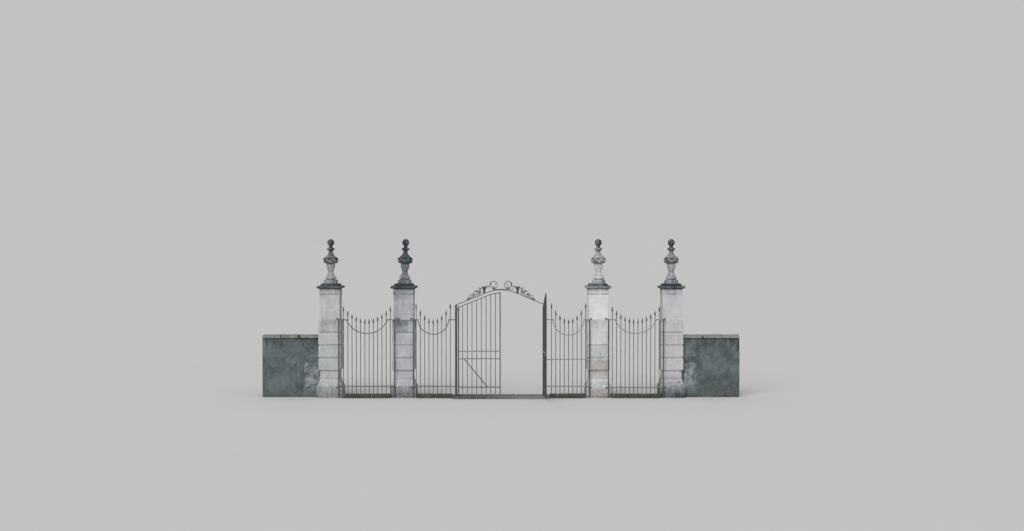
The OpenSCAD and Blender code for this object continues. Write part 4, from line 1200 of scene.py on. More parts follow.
def panel(kind, side, mid, seed):
    g = SIDE[kind, side]
    low = g["low"]
    M = Mesh(mirror_x if side < 0 else None)
    rng = np.random.default_rng(seed)
    c, n, hs, dp = g["c"], g["n"], g["hs"], g["dp"]
    r = (hs * hs + dp * dp) / (2 * dp)
    zc = SHOULDER - dp + r
    xs = [c + (i - (n - 1) / 2) * PITCH for i in range(n)]
    x0 = POST_X + 0.026 if g["xa"] is None else g["xa"] - 0.015
    x1 = g["xb"] + 0.015
    stiles = ([g["xa"]] if g["xa"] else []) + [g["xb"]]
    for x in stiles:
        upright(M, x, 0.0, 2.1415, 0.030, 0.028, joints=(low, SHOULDER), seed=seed + int(x * 100), wob=0.0006, shade=0.2)
        for z in (low, SHOULDER) + ((MID_Z,) if mid else ()):
            rivet(M, x, z, -0.0142, -1, 0.007)
            rivet(M, x, z, 0.0142, 1, 0.007)
            M.spot((x, 0, z - 0.015))
        M.spot((x, 0, 0.0))
    # paler swag, shoulder and bottom rails, more on the right-hand panels: partly chalk, partly painted highlight
    pale = 1.05 if side > 0 else 0.20
    worn = {("inner", -1): 0.25, ("inner", 1): 0.85, ("outer", -1): 0.15, ("outer", 1): 0.55}[kind, side]
    rail(M, x0, x1, low, 0.026, 0.030, xs, seed=seed + 1, chalky=worn)
    rail(M, x0, c - hs + 0.010, SHOULDER, 0.024, 0.028, [q for q in xs if q < c - hs], seed=seed + 2, chalky=pale * 0.6)
    rail(M, c + hs - 0.010, x1, SHOULDER, 0.024, 0.028, [q for q in xs if q > c + hs], seed=seed + 3, chalky=pale * 0.6)
    if mid:
        rail(M, x0, x1, MID_Z, 0.024, 0.030, xs, seed=seed + 4, chalky=1.17)
    # the swag, an arc that each bar passes through
    lim = min(PI * 0.6, math.acos((zc - SHOULDER - 0.006) / r))
    angs = spots_near([math.asin((q - c) / r) for q in xs if abs(q - c) < r * math.sin(min(lim, PI / 2)) - 0.002], -lim, lim, 0.05,
                      tuple(k / r for k in (-0.016, -0.008, 0.0, 0.008, 0.016)))
    P = np.stack([c + r * np.sin(angs), 0 * angs, zc - r * np.cos(angs)], 1)
    gsw = swell(P[:, 0], [q for q in xs if abs(q - c) < hs], 0.012)
    P[:, 2] += 0.0012 * noise(P, 0.3, seed + 5)
    sweep(M, P, 0.0235 + 0.002 * gsw, 0.026 + 0.005 * gsw, rust=0.10, chalky=pale)
    for s in (-1, 1):
        clip(M, c + s * (hs + 0.002), SHOULDER, 0, 0.022, 0.031, 0.034)
    for q in xs:
        d = q - c
        zt = g["z0"] + g["rise"] * (d / g["reach"]) ** 2
        crossing = [low] + ([MID_Z] if mid else [])
        if abs(d) < hs:
            zs = zc - math.sqrt(r * r - d * d)
            crossing.append(zs)
            M.spot((q, 0, zs))
        else:
            crossing.append(SHOULDER)
        upright(M, q, 0.106, zt - 0.176, 0.018, 0.018, joints=crossing, seed=seed + int(q * 1000), step=0.07)
        tip(M, q, zt, rng)
        # lead at the foot
        revolve(M, q, 0, [(0.0200, 0.104), (0.0200, 0.1095), (0.0165, 0.1125), (0.0125, 0.1135), (0.0095, 0.1135)], 12, rust=0.0, wear=0.0)
        M.spot((q, 0, 0.112))
    nm = f"{kind}_{'right' if side > 0 else 'left'}"
    M.build(f"iron_panel_{nm}", IRON, "gateway", [f"panel_{nm}"], sharp=48, forged=0.0007, seed=seed)


panel("outer", -1, False, 510)
panel("inner", -1, False, 530)
panel("inner", 1, True, 550)
panel("outer", 1, False, 570)


def post(side, seed):
    M = Mesh()
    x = side * POST_X
    z = np.concatenate([np.linspace(0.060, 2.500, 52), [2.5115]])
    th = 1 + 0.006 * noise(np.stack([z * 0 + x, z * 0, z], 1), 0.12, seed)
    P = np.stack([np.full(len(z), x), np.zeros(len(z)), z], 1)
    rust = 0.45 * (1 - smooth(0.06, 0.30, z)) + 0.05
    sweep(M, P, 0.0555 * th, 0.0555 * th, chamfer=0.12, rust=rust, shade=0.6)
    # moulded cap
    revolve(M, x, 0, [(0.0270, 2.5090), (0.0305, 2.5105), (0.0315, 2.5130), (0.0300, 2.5155), (0.0260, 2.5175),
                      (0.0200, 2.5215), (0.0150, 2.5260), (0.0105, 2.5285), (0.0040, 2.5296)], 24, rust=0.12)
    # shoe on the threshold
    sweep(M, [(x, 0, 0.0595), (x, 0, 0.064), (x, 0, 0.076), (x, 0, 0.082)], [0.084, 0.086, 0.086, 0.078], [0.084, 0.086, 0.086, 0.078],
          chamfer=0.08, rust=0.5)
    for zr in (0.316,) + ((MID_Z,) if side > 0 else ()) + (SHOULDER, 2.395, 2.492):
        for s in (-1, 1):
            rivet(M, x, zr, s * 0.0278, s, 0.008, 0.004)
        M.spot((x + side * 0.028, 0, zr))
    M.spot((x, -0.028, 0.075), (x, 0.028, 0.075), (x - 0.028, 0, 0.075), (x + 0.028, 0, 0.075), (x, 0, 2.515))
    nm = "right" if side > 0 else "left"
    M.build(f"iron_post_{nm}", IRON_SHADED, "gateway", [f"post_{nm}"], sharp=40, forged=0.0008, seed=seed)


post(-1, 601)
post(1, 611)


# overthrow: the rail and the crown bar

def build_arch():
    M = Mesh()
    e = POST_X - 0.026
    seats = [0.262, 0.449, 0.585, 0.716, 0.80]
    holes = [s * q for q in seats for s in (-1, 1)]
    x = spots_near(holes, -e, e, 0.03)
    P = np.stack([x, 0 * x, np.array([arch_at(q, ARCH_Z, 1.060) for q in x])], 1)
    P[:, 2] += 0.0010 * noise(P, 0.3, 4)
    sweep(M, P, 0.0215, 0.0255 + 0.002 * swell(x, holes), rust=0.12)
    for s in (-1, 1):
        a = s * (e - 0.008)
        z = arch_at(a, ARCH_Z, 1.060)
        clip(M, a, z, -s * 22.1, 0.024, 0.032, 0.036)
    # crown bar: its right end is turned to a knob over a prop, its left end is lost past the ring's foot
    sweep(M, [(0.262, 0, arch_at(0.262, ARCH_Z, 1.060)), (0.262, 0, 2.9365)], 0.0155, 0.0155, rust=0.15, shade=0.5)
    ball(M, 0.330, 0, 2.942, 0.0172, 22, rust=0.1, shade=0.5)
    x = np.concatenate([[-0.2055, -0.2035, -0.199], np.linspace(-0.192, 0.324, 34)])
    n = len(x)
    P = np.stack([x, 0 * x, np.full(n, 2.942)], 1)
    P[:, 2] += 0.0006 * noise(P, 0.2, 14)
    taper = (1 - 0.30 * smooth(0.20, 0.32, x)) * (0.45 + 0.55 * smooth(-0.206, -0.196, x))
    sweep(M, P, 0.0155 * taper, 0.0195 * taper, rust=0.10 + 0.5 * (1 - smooth(-0.206, -0.190, x)))
    clip(M, 0.0, 2.936, 0, 0.034, 0.030, 0.031)
    clip(M, 0.193, 2.943, 0, 0.026, 0.021, 0.024)
    # foot of the left ring: a wedge of iron that straddles bar and rail
    sweep(M, [(-0.195, 0, 2.9035), (-0.195, 0, 2.907), (-0.195, 0, 2.935), (-0.194, 0, 2.953), (-0.193, 0, 2.9565)],
          [0.026, 0.033, 0.033, 0.027, 0.020], [0.020, 0.026, 0.026, 0.022, 0.017], chamfer=0.2, rust=0.22, shade=0.5)
    M.build("iron_arch", IRON, "gateway", ["overthrow_arch"], sharp=48, forged=0.0007, seed=31)


def leaf(M, path, width, thick=0.0026, lobes=3.0, depth=0.30, fold=0.25, cup=0.0, tilt=0.0, sharp_end=True, seed=0):
    """A beaten sheet leaf whose midrib follows a path in the plane of X and Z. Its blade lies in that plane,
    folded along the midrib, with lobes cut into its sides."""
    P = np.array(path, float)
    n = len(P)
    s = np.linspace(0, 1, n)
    t = np.gradient(P, axis=0)
    t /= np.linalg.norm(t, axis=1, keepdims=True)
    nrm = np.stack([-t[:, 2], 0 * s, t[:, 0]], 1)
    env = np.sin(PI * np.clip(s, 0, 1) ** 0.75) ** 0.8 if sharp_end else np.sin(PI * 0.5 * (0.15 + 0.85 * s))
    saw = 1 - depth * (0.5 - 0.5 * np.cos(2 * PI * lobes * s)) ** 0.8
    W = width * (0.10 + 0.90 * env * saw)
    if sharp_end:
        W[-1] = width * 0.05
    m = 5
    u = np.linspace(-1, 1, 2 * m + 1)
    A = P[:, None, :] + nrm[:, None, :] * (u[None, :, None] * W[:, None, None] / 2)
    lift = -fold * np.abs(u)[None, :] * W[:, None] * 0.5 + cup * (u[None, :] ** 2) * W[:, None]
    vein = 0.0016 * np.exp(-(u / 0.13) ** 2)[None, :] * np.ones(n)[:, None]
    rib = 0.0012 * np.cos(2 * PI * (lobes * s[:, None] - 0.8 * np.abs(u)[None, :]))
    y = lift + tilt * s[:, None] ** 2
    half = thick / 2 * (1 - 0.45 * np.abs(u)[None, :] ** 3)
    F = A + np.array([0, -1, 0]) * (half + vein + rib * (1 - np.abs(u)[None, :] ** 4) * (W[:, None] > 0.012))[:, :, None]
    B = A + np.array([0, 1, 0]) * half[:, :, None]
    F[:, :, 1] += -y
    B[:, :, 1] += -y
    ring = np.concatenate([F, B[:, ::-1, :]], 1)
    k = ring.shape[1]
    verts = ring.reshape(-1, 3)
    faces = grid_faces(n, k)
    for row in (0, n - 1):
        for j in range(2 * m):
            a, b, c, d = row * k + j, row * k + j + 1, row * k + (k - 2 - j), row * k + (k - 1 - j)
            faces.append((a, b, c, d) if row else (d, c, b, a))
    M.add(verts, faces, rust=0.14)


def arc(cx, cz, r0, r1, a0, a1, n=40, y=0.0, ease=1.0):
    """Points of a spiral in the plane of X and Z, from radius r0 to r1."""
    k = np.linspace(0, 1, n)
    a = np.radians(a0 + (a1 - a0) * k)
    r = r0 + (r1 - r0) * k ** ease
    return np.stack([cx + r * np.cos(a), np.full(n, y), cz + r * np.sin(a)], 1)


def scroll(M, P, w0, w1, w2, d, eye=None):
    """A drawn-out scroll bar: thin at both ends and thick between, with a rolled eye at its end."""
    k = np.linspace(0, 1, len(P))
    w = np.interp(k, [0, 0.45, 1], [w0, w1, w2])
    sweep(M, P, w, d * (1 - 0.12 * k), chamfer=0.20, round_ends=0.25, rust=0.10)
    if eye:
        x, z = P[-1][0], P[-1][2]
        h = d * 0.56
        revolve(M, x, 0, [(eye * 0.35, -h), (eye * 0.85, -h * 0.94), (eye, -h * 0.6), (eye, h * 0.6), (eye * 0.85, h * 0.94), (eye * 0.35, h)],
                16, "y", z, rust=0.12)


def through(pts, n=12):
    """A smooth curve through points in the plane of X and Z."""
    Q = np.array(pts, float)
    Q = np.concatenate([[2 * Q[0] - Q[1]], Q, [2 * Q[-1] - Q[-2]]])
    out = []
    for a, b, c, d in zip(Q, Q[1:], Q[2:], Q[3:]):
        for t in np.arange(n) / n:
            out.append(0.5 * (2 * b + (c - a) * t + (2 * a - 5 * b + 4 * c - d) * t * t + (3 * b - a - 3 * c + d) * t ** 3))
    out.append(Q[-2])
    out = np.array(out)
    return np.stack([out[:, 0], 0 * out[:, 0], out[:, 1]], 1)


def even(P, step):
    """The same curve with points at even distances."""
    s = np.concatenate([[0], np.cumsum(np.linalg.norm(np.diff(P, axis=0), axis=1))])
    k = np.linspace(0, s[-1], max(4, int(s[-1] / step)))
    return np.stack([np.interp(k, s, P[:, i]) for i in range(3)], 1)


def eye(M, x, z, r, h):
    """The rolled end of a scroll, a short turned boss with domed faces."""
    revolve(M, x, 0, [(r * 0.15, -h * 1.12), (r * 0.55, -h * 1.06), (r * 0.88, -h * 0.86), (r, -h * 0.5), (r, h * 0.5), (r * 0.88, h * 0.86),
                      (r * 0.55, h * 1.06), (r * 0.15, h * 1.12)], 20, "y", z, rust=0.12, shade=0.3)


def build_scrolls():
    M = Mesh()
    for side in (1, -1):
        M.place = mirror_x if side < 0 else None
        top = 2.950
        cx, cz = 0.193, top + 0.104
        # ring, heavy on its outer side and drawn thin round the inner one
        P = even(arc(cx, cz, 0.1025, 0.1000, -30, 354, 120), 0.008)
        k = np.linspace(0, 1, len(P))
        sweep(M, P, np.interp(k, [0, 0.05, 0.33, 0.44, 1], [0.012, 0.0195, 0.0195, 0.0130, 0.0105]), 0.0160, chamfer=0.20, round_ends=0.3,
              rust=0.10, shade=0.45 * (1 - smooth(0.33, 0.45, k)))
        # stem from the foot to its eye by the middle
        P = even(through([(0.192, top - 0.002), (0.187, top + 0.034), (0.177, top + 0.070), (0.162, top + 0.104), (0.150, top + 0.126)]), 0.008)
        k = np.linspace(0, 1, len(P))
        sweep(M, P, np.interp(k, [0, 0.4, 1], [0.016, 0.0135, 0.0095]), 0.0140, chamfer=0.2, rust=0.12)
        P = even(arc(0.144, top + 0.138, 0.0150, 0.0130, -60, 250, 40), 0.004)
        sweep(M, P, np.linspace(0.0085, 0.0060, len(P)), 0.0150, chamfer=0.2, round_ends=0.2, rust=0.12)
        eye(M, 0.144, top + 0.138, 0.0095, 0.0085)
        # leaves that wrap the ring's heavy side and the stem
        leaf(M, arc(cx, cz, 0.105, 0.109, 0, 62, 17), 0.020, lobes=4, depth=0.24, tilt=-0.003)
        leaf(M, arc(cx, cz, 0.092, 0.078, -12, 44, 13), 0.026, lobes=3, depth=0.30, tilt=0.004)
        leaf(M, through([(0.200, top + 0.004), (0.215, top + 0.030), (0.226, top + 0.058), (0.232, top + 0.080)], 5), 0.030, lobes=3, depth=0.28, tilt=0.004)
        leaf(M, through([(0.184, top + 0.004), (0.168, top + 0.022), (0.150, top + 0.036), (0.134, top + 0.040)], 5), 0.026, lobes=3, depth=0.28, tilt=0.004)
        # tie from the ring to the bud
        P = even(through([(0.284, top + 0.060), (0.300, top + 0.057), (0.340, top + 0.055), (0.380, top + 0.060), (0.415, top + 0.068), (0.441, top + 0.070)]), 0.009)
        sweep(M, P, 0.0112, 0.0125, chamfer=0.2, rust=0.12)
        clip(M, 0.294, top + 0.058, -8, 0.016, 0.018, 0.0195)
        leaf(M, through([(0.318, top + 0.058), (0.340, top + 0.068), (0.364, top + 0.074), (0.386, top + 0.072)], 5), 0.022, lobes=2.5, depth=0.28, tilt=0.004)
        # bud on the flank: a broad stem sheathed in leaves, a flower opening above
        bx = 0.452
        zb = arch_at(bx, ARCH_Z, 1.060) + 0.008
        P = [(bx, 0, zb + q) for q in (0.0, 0.02, 0.045, 0.07, 0.095, 0.120)]
        sweep(M, P, [0.028, 0.030, 0.024, 0.022, 0.026, 0.024], [0.0165, 0.0165, 0.0150, 0.0150, 0.0165, 0.0150], chamfer=0.25, rust=0.12, shade=0.6)
        revolve(M, bx, 0, [(0.0100, zb + 0.050), (0.0160, zb + 0.053), (0.0172, zb + 0.058), (0.0160, zb + 0.063), (0.0100, zb + 0.066)], 18, rust=0.15, shade=0.5)
        revolve(M, bx, 0, [(0.0080, zb + 0.112), (0.0140, zb + 0.122), (0.0162, zb + 0.138), (0.0145, zb + 0.156), (0.0095, zb + 0.172), (0.0045, zb + 0.182), (0.0008, zb + 0.1885)],
                16, rust=0.1, shade=0.4)
        for q in (-1, 1):
            # outer petals that curl over, inner petals that stand
            leaf(M, through([(bx + q * 0.008, zb + 0.078), (bx + q * 0.022, zb + 0.106), (bx + q * 0.037, zb + 0.138), (bx + q * 0.052, zb + 0.163),
                             (bx + q * 0.066, zb + 0.173), (bx + q * 0.074, zb + 0.162)], 5), 0.044, lobes=3, depth=0.24, tilt=0.004, fold=0.15)
            leaf(M, through([(bx + q * 0.004, zb + 0.088), (bx + q * 0.013, zb + 0.118), (bx + q * 0.022, zb + 0.150), (bx + q * 0.032, zb + 0.176),
                             (bx + q * 0.044, zb + 0.186)], 5), 0.032, lobes=2.5, depth=0.22, tilt=-0.003, fold=0.15)
            sweep(M, even(through([(bx + q * 0.010, zb + 0.082), (bx + q * 0.030, zb + 0.124), (bx + q * 0.050, zb + 0.158), (bx + q * 0.064, zb + 0.170)]), 0.01),
                  0.0085, 0.0120, chamfer=0.2, round_ends=0.3, rust=0.12, shade=0.4)
            # leaves that sheathe the stem
            leaf(M, through([(bx + q * 0.006, zb + 0.002), (bx + q * 0.017, zb + 0.020), (bx + q * 0.022, zb + 0.044), (bx + q * 0.019, zb + 0.066)], 5),
                 0.026, lobes=2.5, depth=0.22, tilt=0.003, fold=0.15)
            leaf(M, through([(bx + q * 0.008, zb + 0.050), (bx + q * 0.022, zb + 0.070), (bx + q * 0.030, zb + 0.094), (bx + q * 0.030, zb + 0.116)], 5),
                 0.024, lobes=2.5, depth=0.22, tilt=0.003, fold=0.15)
        clip(M, bx, zb - 0.004, -22.1, 0.034, 0.020, 0.030)
        # upper scroll of the flank
        A = arc(0.590, 2.944, 0.026, 0.042, -60, 180, 40)
        B = through([(0.548, 2.944), (0.553, 2.905), (0.566, 2.868), (0.590, 2.836), (0.628, 2.806), (0.667, 2.7915)])
        C = arc(0.675, 2.845, 0.054, 0.054, 262, 390, 30)
        D = arc(0.675, 2.845, 0.054, 0.026, 392, 610, 40)
        P = even(np.concatenate([A, B[4:-4], C, D]), 0.007)
        k = np.linspace(0, 1, len(P))
        sweep(M, P, np.interp(k, [0, 0.15, 0.4, 0.7, 1], [0.008, 0.014, 0.017, 0.014, 0.0075]), 0.0160, chamfer=0.20, round_ends=0.25, rust=0.10,
              shade=0.5 * smooth(0.1, 0.4, k) * (1 - smooth(0.6, 0.8, k)))
        eye(M, 0.598, 2.926, 0.0105, 0.0085)
        eye(M, 0.655, 2.836, 0.0110, 0.0085)
        P = even(through([(0.640, arch_at(0.640, ARCH_Z, 1.060)), (0.643, 2.775), (0.648, 2.797)]), 0.006)
        sweep(M, P, 0.0155, 0.0155, chamfer=0.2, rust=0.14, shade=0.4)
        # its leaves: a mass on the back of the stem, more in the turn of the scroll
        for pts, w, lb, tl in (
                ([(0.562, 2.872), (0.580, 2.888), (0.604, 2.892), (0.628, 2.882)], 0.040, 3, 0.004),
                ([(0.574, 2.852), (0.598, 2.862), (0.622, 2.860), (0.640, 2.846)], 0.034, 3, -0.004),
                ([(0.560, 2.876), (0.546, 2.862), (0.536, 2.842), (0.532, 2.822)], 0.032, 3, 0.004),
                ([(0.584, 2.842), (0.574, 2.822), (0.572, 2.802), (0.578, 2.786)], 0.028, 2.5, 0.004),
                ([(0.552, 2.916), (0.562, 2.936), (0.578, 2.950), (0.598, 2.954)], 0.022, 2.5, 0.004),
                ([(0.548, 2.930), (0.540, 2.950), (0.538, 2.970), (0.544, 2.986)], 0.022, 2.5, -0.003),
                ([(0.700, 2.892), (0.680, 2.908), (0.656, 2.908), (0.638, 2.896)], 0.028, 3, 0.004),
                ([(0.726, 2.862), (0.738, 2.840), (0.738, 2.816), (0.728, 2.796)], 0.028, 3, 0.004),
                ([(0.690, 2.866), (0.676, 2.876), (0.660, 2.872), (0.650, 2.860)], 0.022, 2.5, -0.004)):
            leaf(M, through(pts, 5), w, lobes=lb, depth=0.30, tilt=tl, fold=0.18)
        # lower scroll of the flank
        A = through([(0.702, 2.788), (0.728, 2.772), (0.756, 2.746), (0.777, 2.728)])
        B = arc(0.800, 2.758, 0.038, 0.036, 236, 400, 34)
        C = arc(0.800, 2.758, 0.036, 0.017, 402, 600, 34)
        P = even(np.concatenate([A[:-2], B, C]), 0.006)
        k = np.linspace(0, 1, len(P))
        sweep(M, P, np.interp(k, [0, 0.3, 1], [0.009, 0.0140, 0.0070]), 0.0150, chamfer=0.20, round_ends=0.25, rust=0.10)
        eye(M, 0.789, 2.750, 0.0095, 0.0080)
        P = even(through([(0.790, arch_at(0.790, ARCH_Z, 1.060)), (0.792, 2.706), (0.793, 2.723)]), 0.006)
        sweep(M, P, 0.0148, 0.0148, chamfer=0.2, rust=0.14, shade=0.4)
        for pts, w, lb, tl in (
                ([(0.712, 2.784), (0.734, 2.790), (0.756, 2.784), (0.772, 2.768)], 0.034, 3, 0.004),
                ([(0.724, 2.772), (0.722, 2.752), (0.730, 2.734), (0.744, 2.722)], 0.028, 2.5, 0.004),
                ([(0.816, 2.792), (0.834, 2.782), (0.846, 2.764), (0.848, 2.744)], 0.026, 3, 0.004),
                ([(0.770, 2.776), (0.778, 2.794), (0.794, 2.804), (0.812, 2.802)], 0.022, 2.5, 0.004)):
            leaf(M, through(pts, 5), w, lobes=lb, depth=0.30, tilt=tl, fold=0.18)
        # leaves that end the scrolls by the post
        zt = arch_at(0.846, ARCH_Z, 1.060) + 0.010
        sl = math.tan(SLOPE)
        t = np.linspace(0, 1, 18)
        leaf(M, np.stack([0.826 + 0.122 * t, 0 * t, zt + 0.012 + 0.014 * np.sin(PI * t) - 0.120 * t * sl + 0.006 * t], 1), 0.034, lobes=3.5, depth=0.28, tilt=0.005)
        leaf(M, np.stack([0.826 + 0.080 * t, 0 * t, zt + 0.014 + 0.044 * np.sin(PI * 0.55 * t) - 0.050 * t * sl], 1), 0.030, lobes=3, depth=0.30, tilt=0.005)
        sweep(M, np.stack([0.818 + 0.112 * t, 0 * t, zt + 0.004 + 0.009 * np.sin(PI * t) - 0.104 * t * sl], 1), np.interp(t, [0, 1], [0.012, 0.006]), 0.013, rust=0.12)
        for q in (0.640, 0.790, 0.850):
            clip(M, q, arch_at(q, ARCH_Z, 1.060) + 0.003, -22.1, 0.022, 0.032, 0.030)
    M.place = None
    M.build("iron_scrolls", IRON, "gateway", ["overthrow_scrolls"], sharp=50, forged=0.0005, seed=37)


build_arch()
build_scrolls()


def collar_and_cup(side, seed):
    nm = "right" if side > 0 else "left"
    x = side * AXIS_X
    M = Mesh()
    # ring: an open band with a hole for the journal
    a = np.arange(32) * 2 * PI / 32
    prof = [(0.0172, 2.3805), (0.0172, 2.4095), (0.0205, 2.4100), (0.0240, 2.4096), (0.0258, 2.4080), (0.0260, 2.4040),
            (0.0260, 2.3860), (0.0258, 2.3820), (0.0240, 2.3804), (0.0205, 2.3800)]
    V = np.array([[(x + r * math.cos(t), r * math.sin(t), z) for t in a] for r, z in prof])
    n, k = V.shape[:2]
    faces = []
    for i in range(n):
        for j in range(k):
            faces.append((i * k + j, i * k + (j + 1) % k, ((i + 1) % n) * k + (j + 1) % k, ((i + 1) % n) * k + j))
    M.add(V.reshape(-1, 3), faces, rust=0.18, wear=np.repeat([0.8, 0.8] + [0.1] * 8, k))
    # strap back to the post, with its wedge
    g = side * (POST_X - 0.026)
    p = np.linspace(0, 1, 6)
    xs = x + side * 0.021 + (g - x - side * 0.021) * p
    sweep(M, np.stack([xs, 0 * xs, np.full(6, 2.395)], 1), 0.0255, 0.0215, chamfer=0.16, rust=0.2)
    sweep(M, [(x + side * 0.0315, -0.016, 2.395), (x + side * 0.0315, 0.017, 2.395)], 0.009, 0.012, ref=(0, 0, 1), rust=0.3)
    M.spot((x + side * 0.034, 0, 2.395))
    M.build(f"iron_collar_{nm}", FITTING, "gateway", [f"collar_{nm}"], sharp=40, forged=0.0004, seed=seed)
    M = Mesh()
    prof = [(0.0340, 0.0600), (0.0342, 0.0660), (0.0330, 0.0698), (0.0262, 0.0712), (0.0242, 0.0730), (0.0240, 0.0895),
            (0.0228, 0.0918), (0.0160, 0.0920), (0.0135, 0.0908), (0.0130, 0.0880), (0.0130, 0.0712), (0.0020, 0.0705)]
    revolve(M, x, 0, prof, 36, rust=0.38, wear=0.25)
    for t in (40, 130, 220, 310):
        q = math.radians(t)
        revolve(M, x + 0.0290 * math.cos(q), 0.0290 * math.sin(q), [(0.0040, 0.068), (0.0040, 0.0712), (0.0026, 0.0728), (0.0005, 0.0732)], 10, rust=0.5)
    M.spot((x, 0, 0.062))
    M.build(f"iron_cup_{nm}", FITTING, "gateway", [f"footstep_{nm}"], sharp=40, forged=0.0004, seed=seed + 1)


collar_and_cup(-1, 621)
collar_and_cup(1, 631)


def build_cramps():
    M = Mesh()
    up, lo = PIER_Y - 0.272, PIER_Y - 0.350
    for m in (1, -1):
        M.place = mirror_x if m < 0 else None
        si, so, sp = (0.011, 0.016, 0.007) if m > 0 else (-0.021, -0.019, 0.0)
        for px, s, z, fy, off, reach in ((2.640, -1, 2.127, up, si, 0.200), (2.640, 1, 2.127, up, so, 0.200 if m > 0 else 0.120),
                                         (4.640, -1, 2.127, up, sp, 0.200), (2.640, -1, 0.268, lo, si, 0.200),
                                         (2.640, 1, 0.268, lo, so, 0.200), (4.640, -1, 0.268, lo, sp, 0.200)):
            a = px + off + s * 0.239
            b = px + s * reach
            zc = z + 0.013
            pts = [(a, 0, zc), (b + s * 0.012, 0, zc), (b + s * 0.004, 0.001, zc), (b, 0.005, zc), (b - 0 * s, 0.012, zc)]
            pts += [(b, 0.012 + (fy + 0.004 - 0.012) * k, zc) for k in (0.3, 0.65, 1.0)]
            # shade=0.9 paints the cramps in shade
            sweep(M, pts, 0.0098, 0.0255, ref=(0, 0, 1), chamfer=0.16, rust=0.18, shade=0.9)
            rivet(M, a - s * 0.013, zc, -0.0050, -1, 0.0065)
            M.spot((b, fy, zc), (b, fy, zc + 0.01), (a, 0, zc))
            # lead run in round the cramp where it enters the stone
            sweep(M, [(b, fy - 0.004, zc), (b, fy + 0.002, zc)], [0.020, 0.026], [0.036, 0.042], ref=(0, 0, 1), chamfer=0.2, rust=0.1)
    M.place = None
    M.build("iron_cramps", IRON, "gateway", ["wall_cramps"], sharp=45, forged=0.0005, seed=41)


build_cramps()


# the leaves, drawn closed on the left

def left_place(P):
    return P


def right_place(P):
    t = math.radians(92.5)
    dx, dy = -P[:, 0] - AXIS_X, P[:, 1]
    return np.stack([AXIS_X + dx * math.cos(t) - dy * math.sin(t), dx * math.sin(t) + dy * math.cos(t), P[:, 2]], 1)


BARS = [-0.022 - 0.1265 * i for i in range(1, 9)]


def leaf_top(x):
    return arch_at(x, LEAF_Z, 0.975)


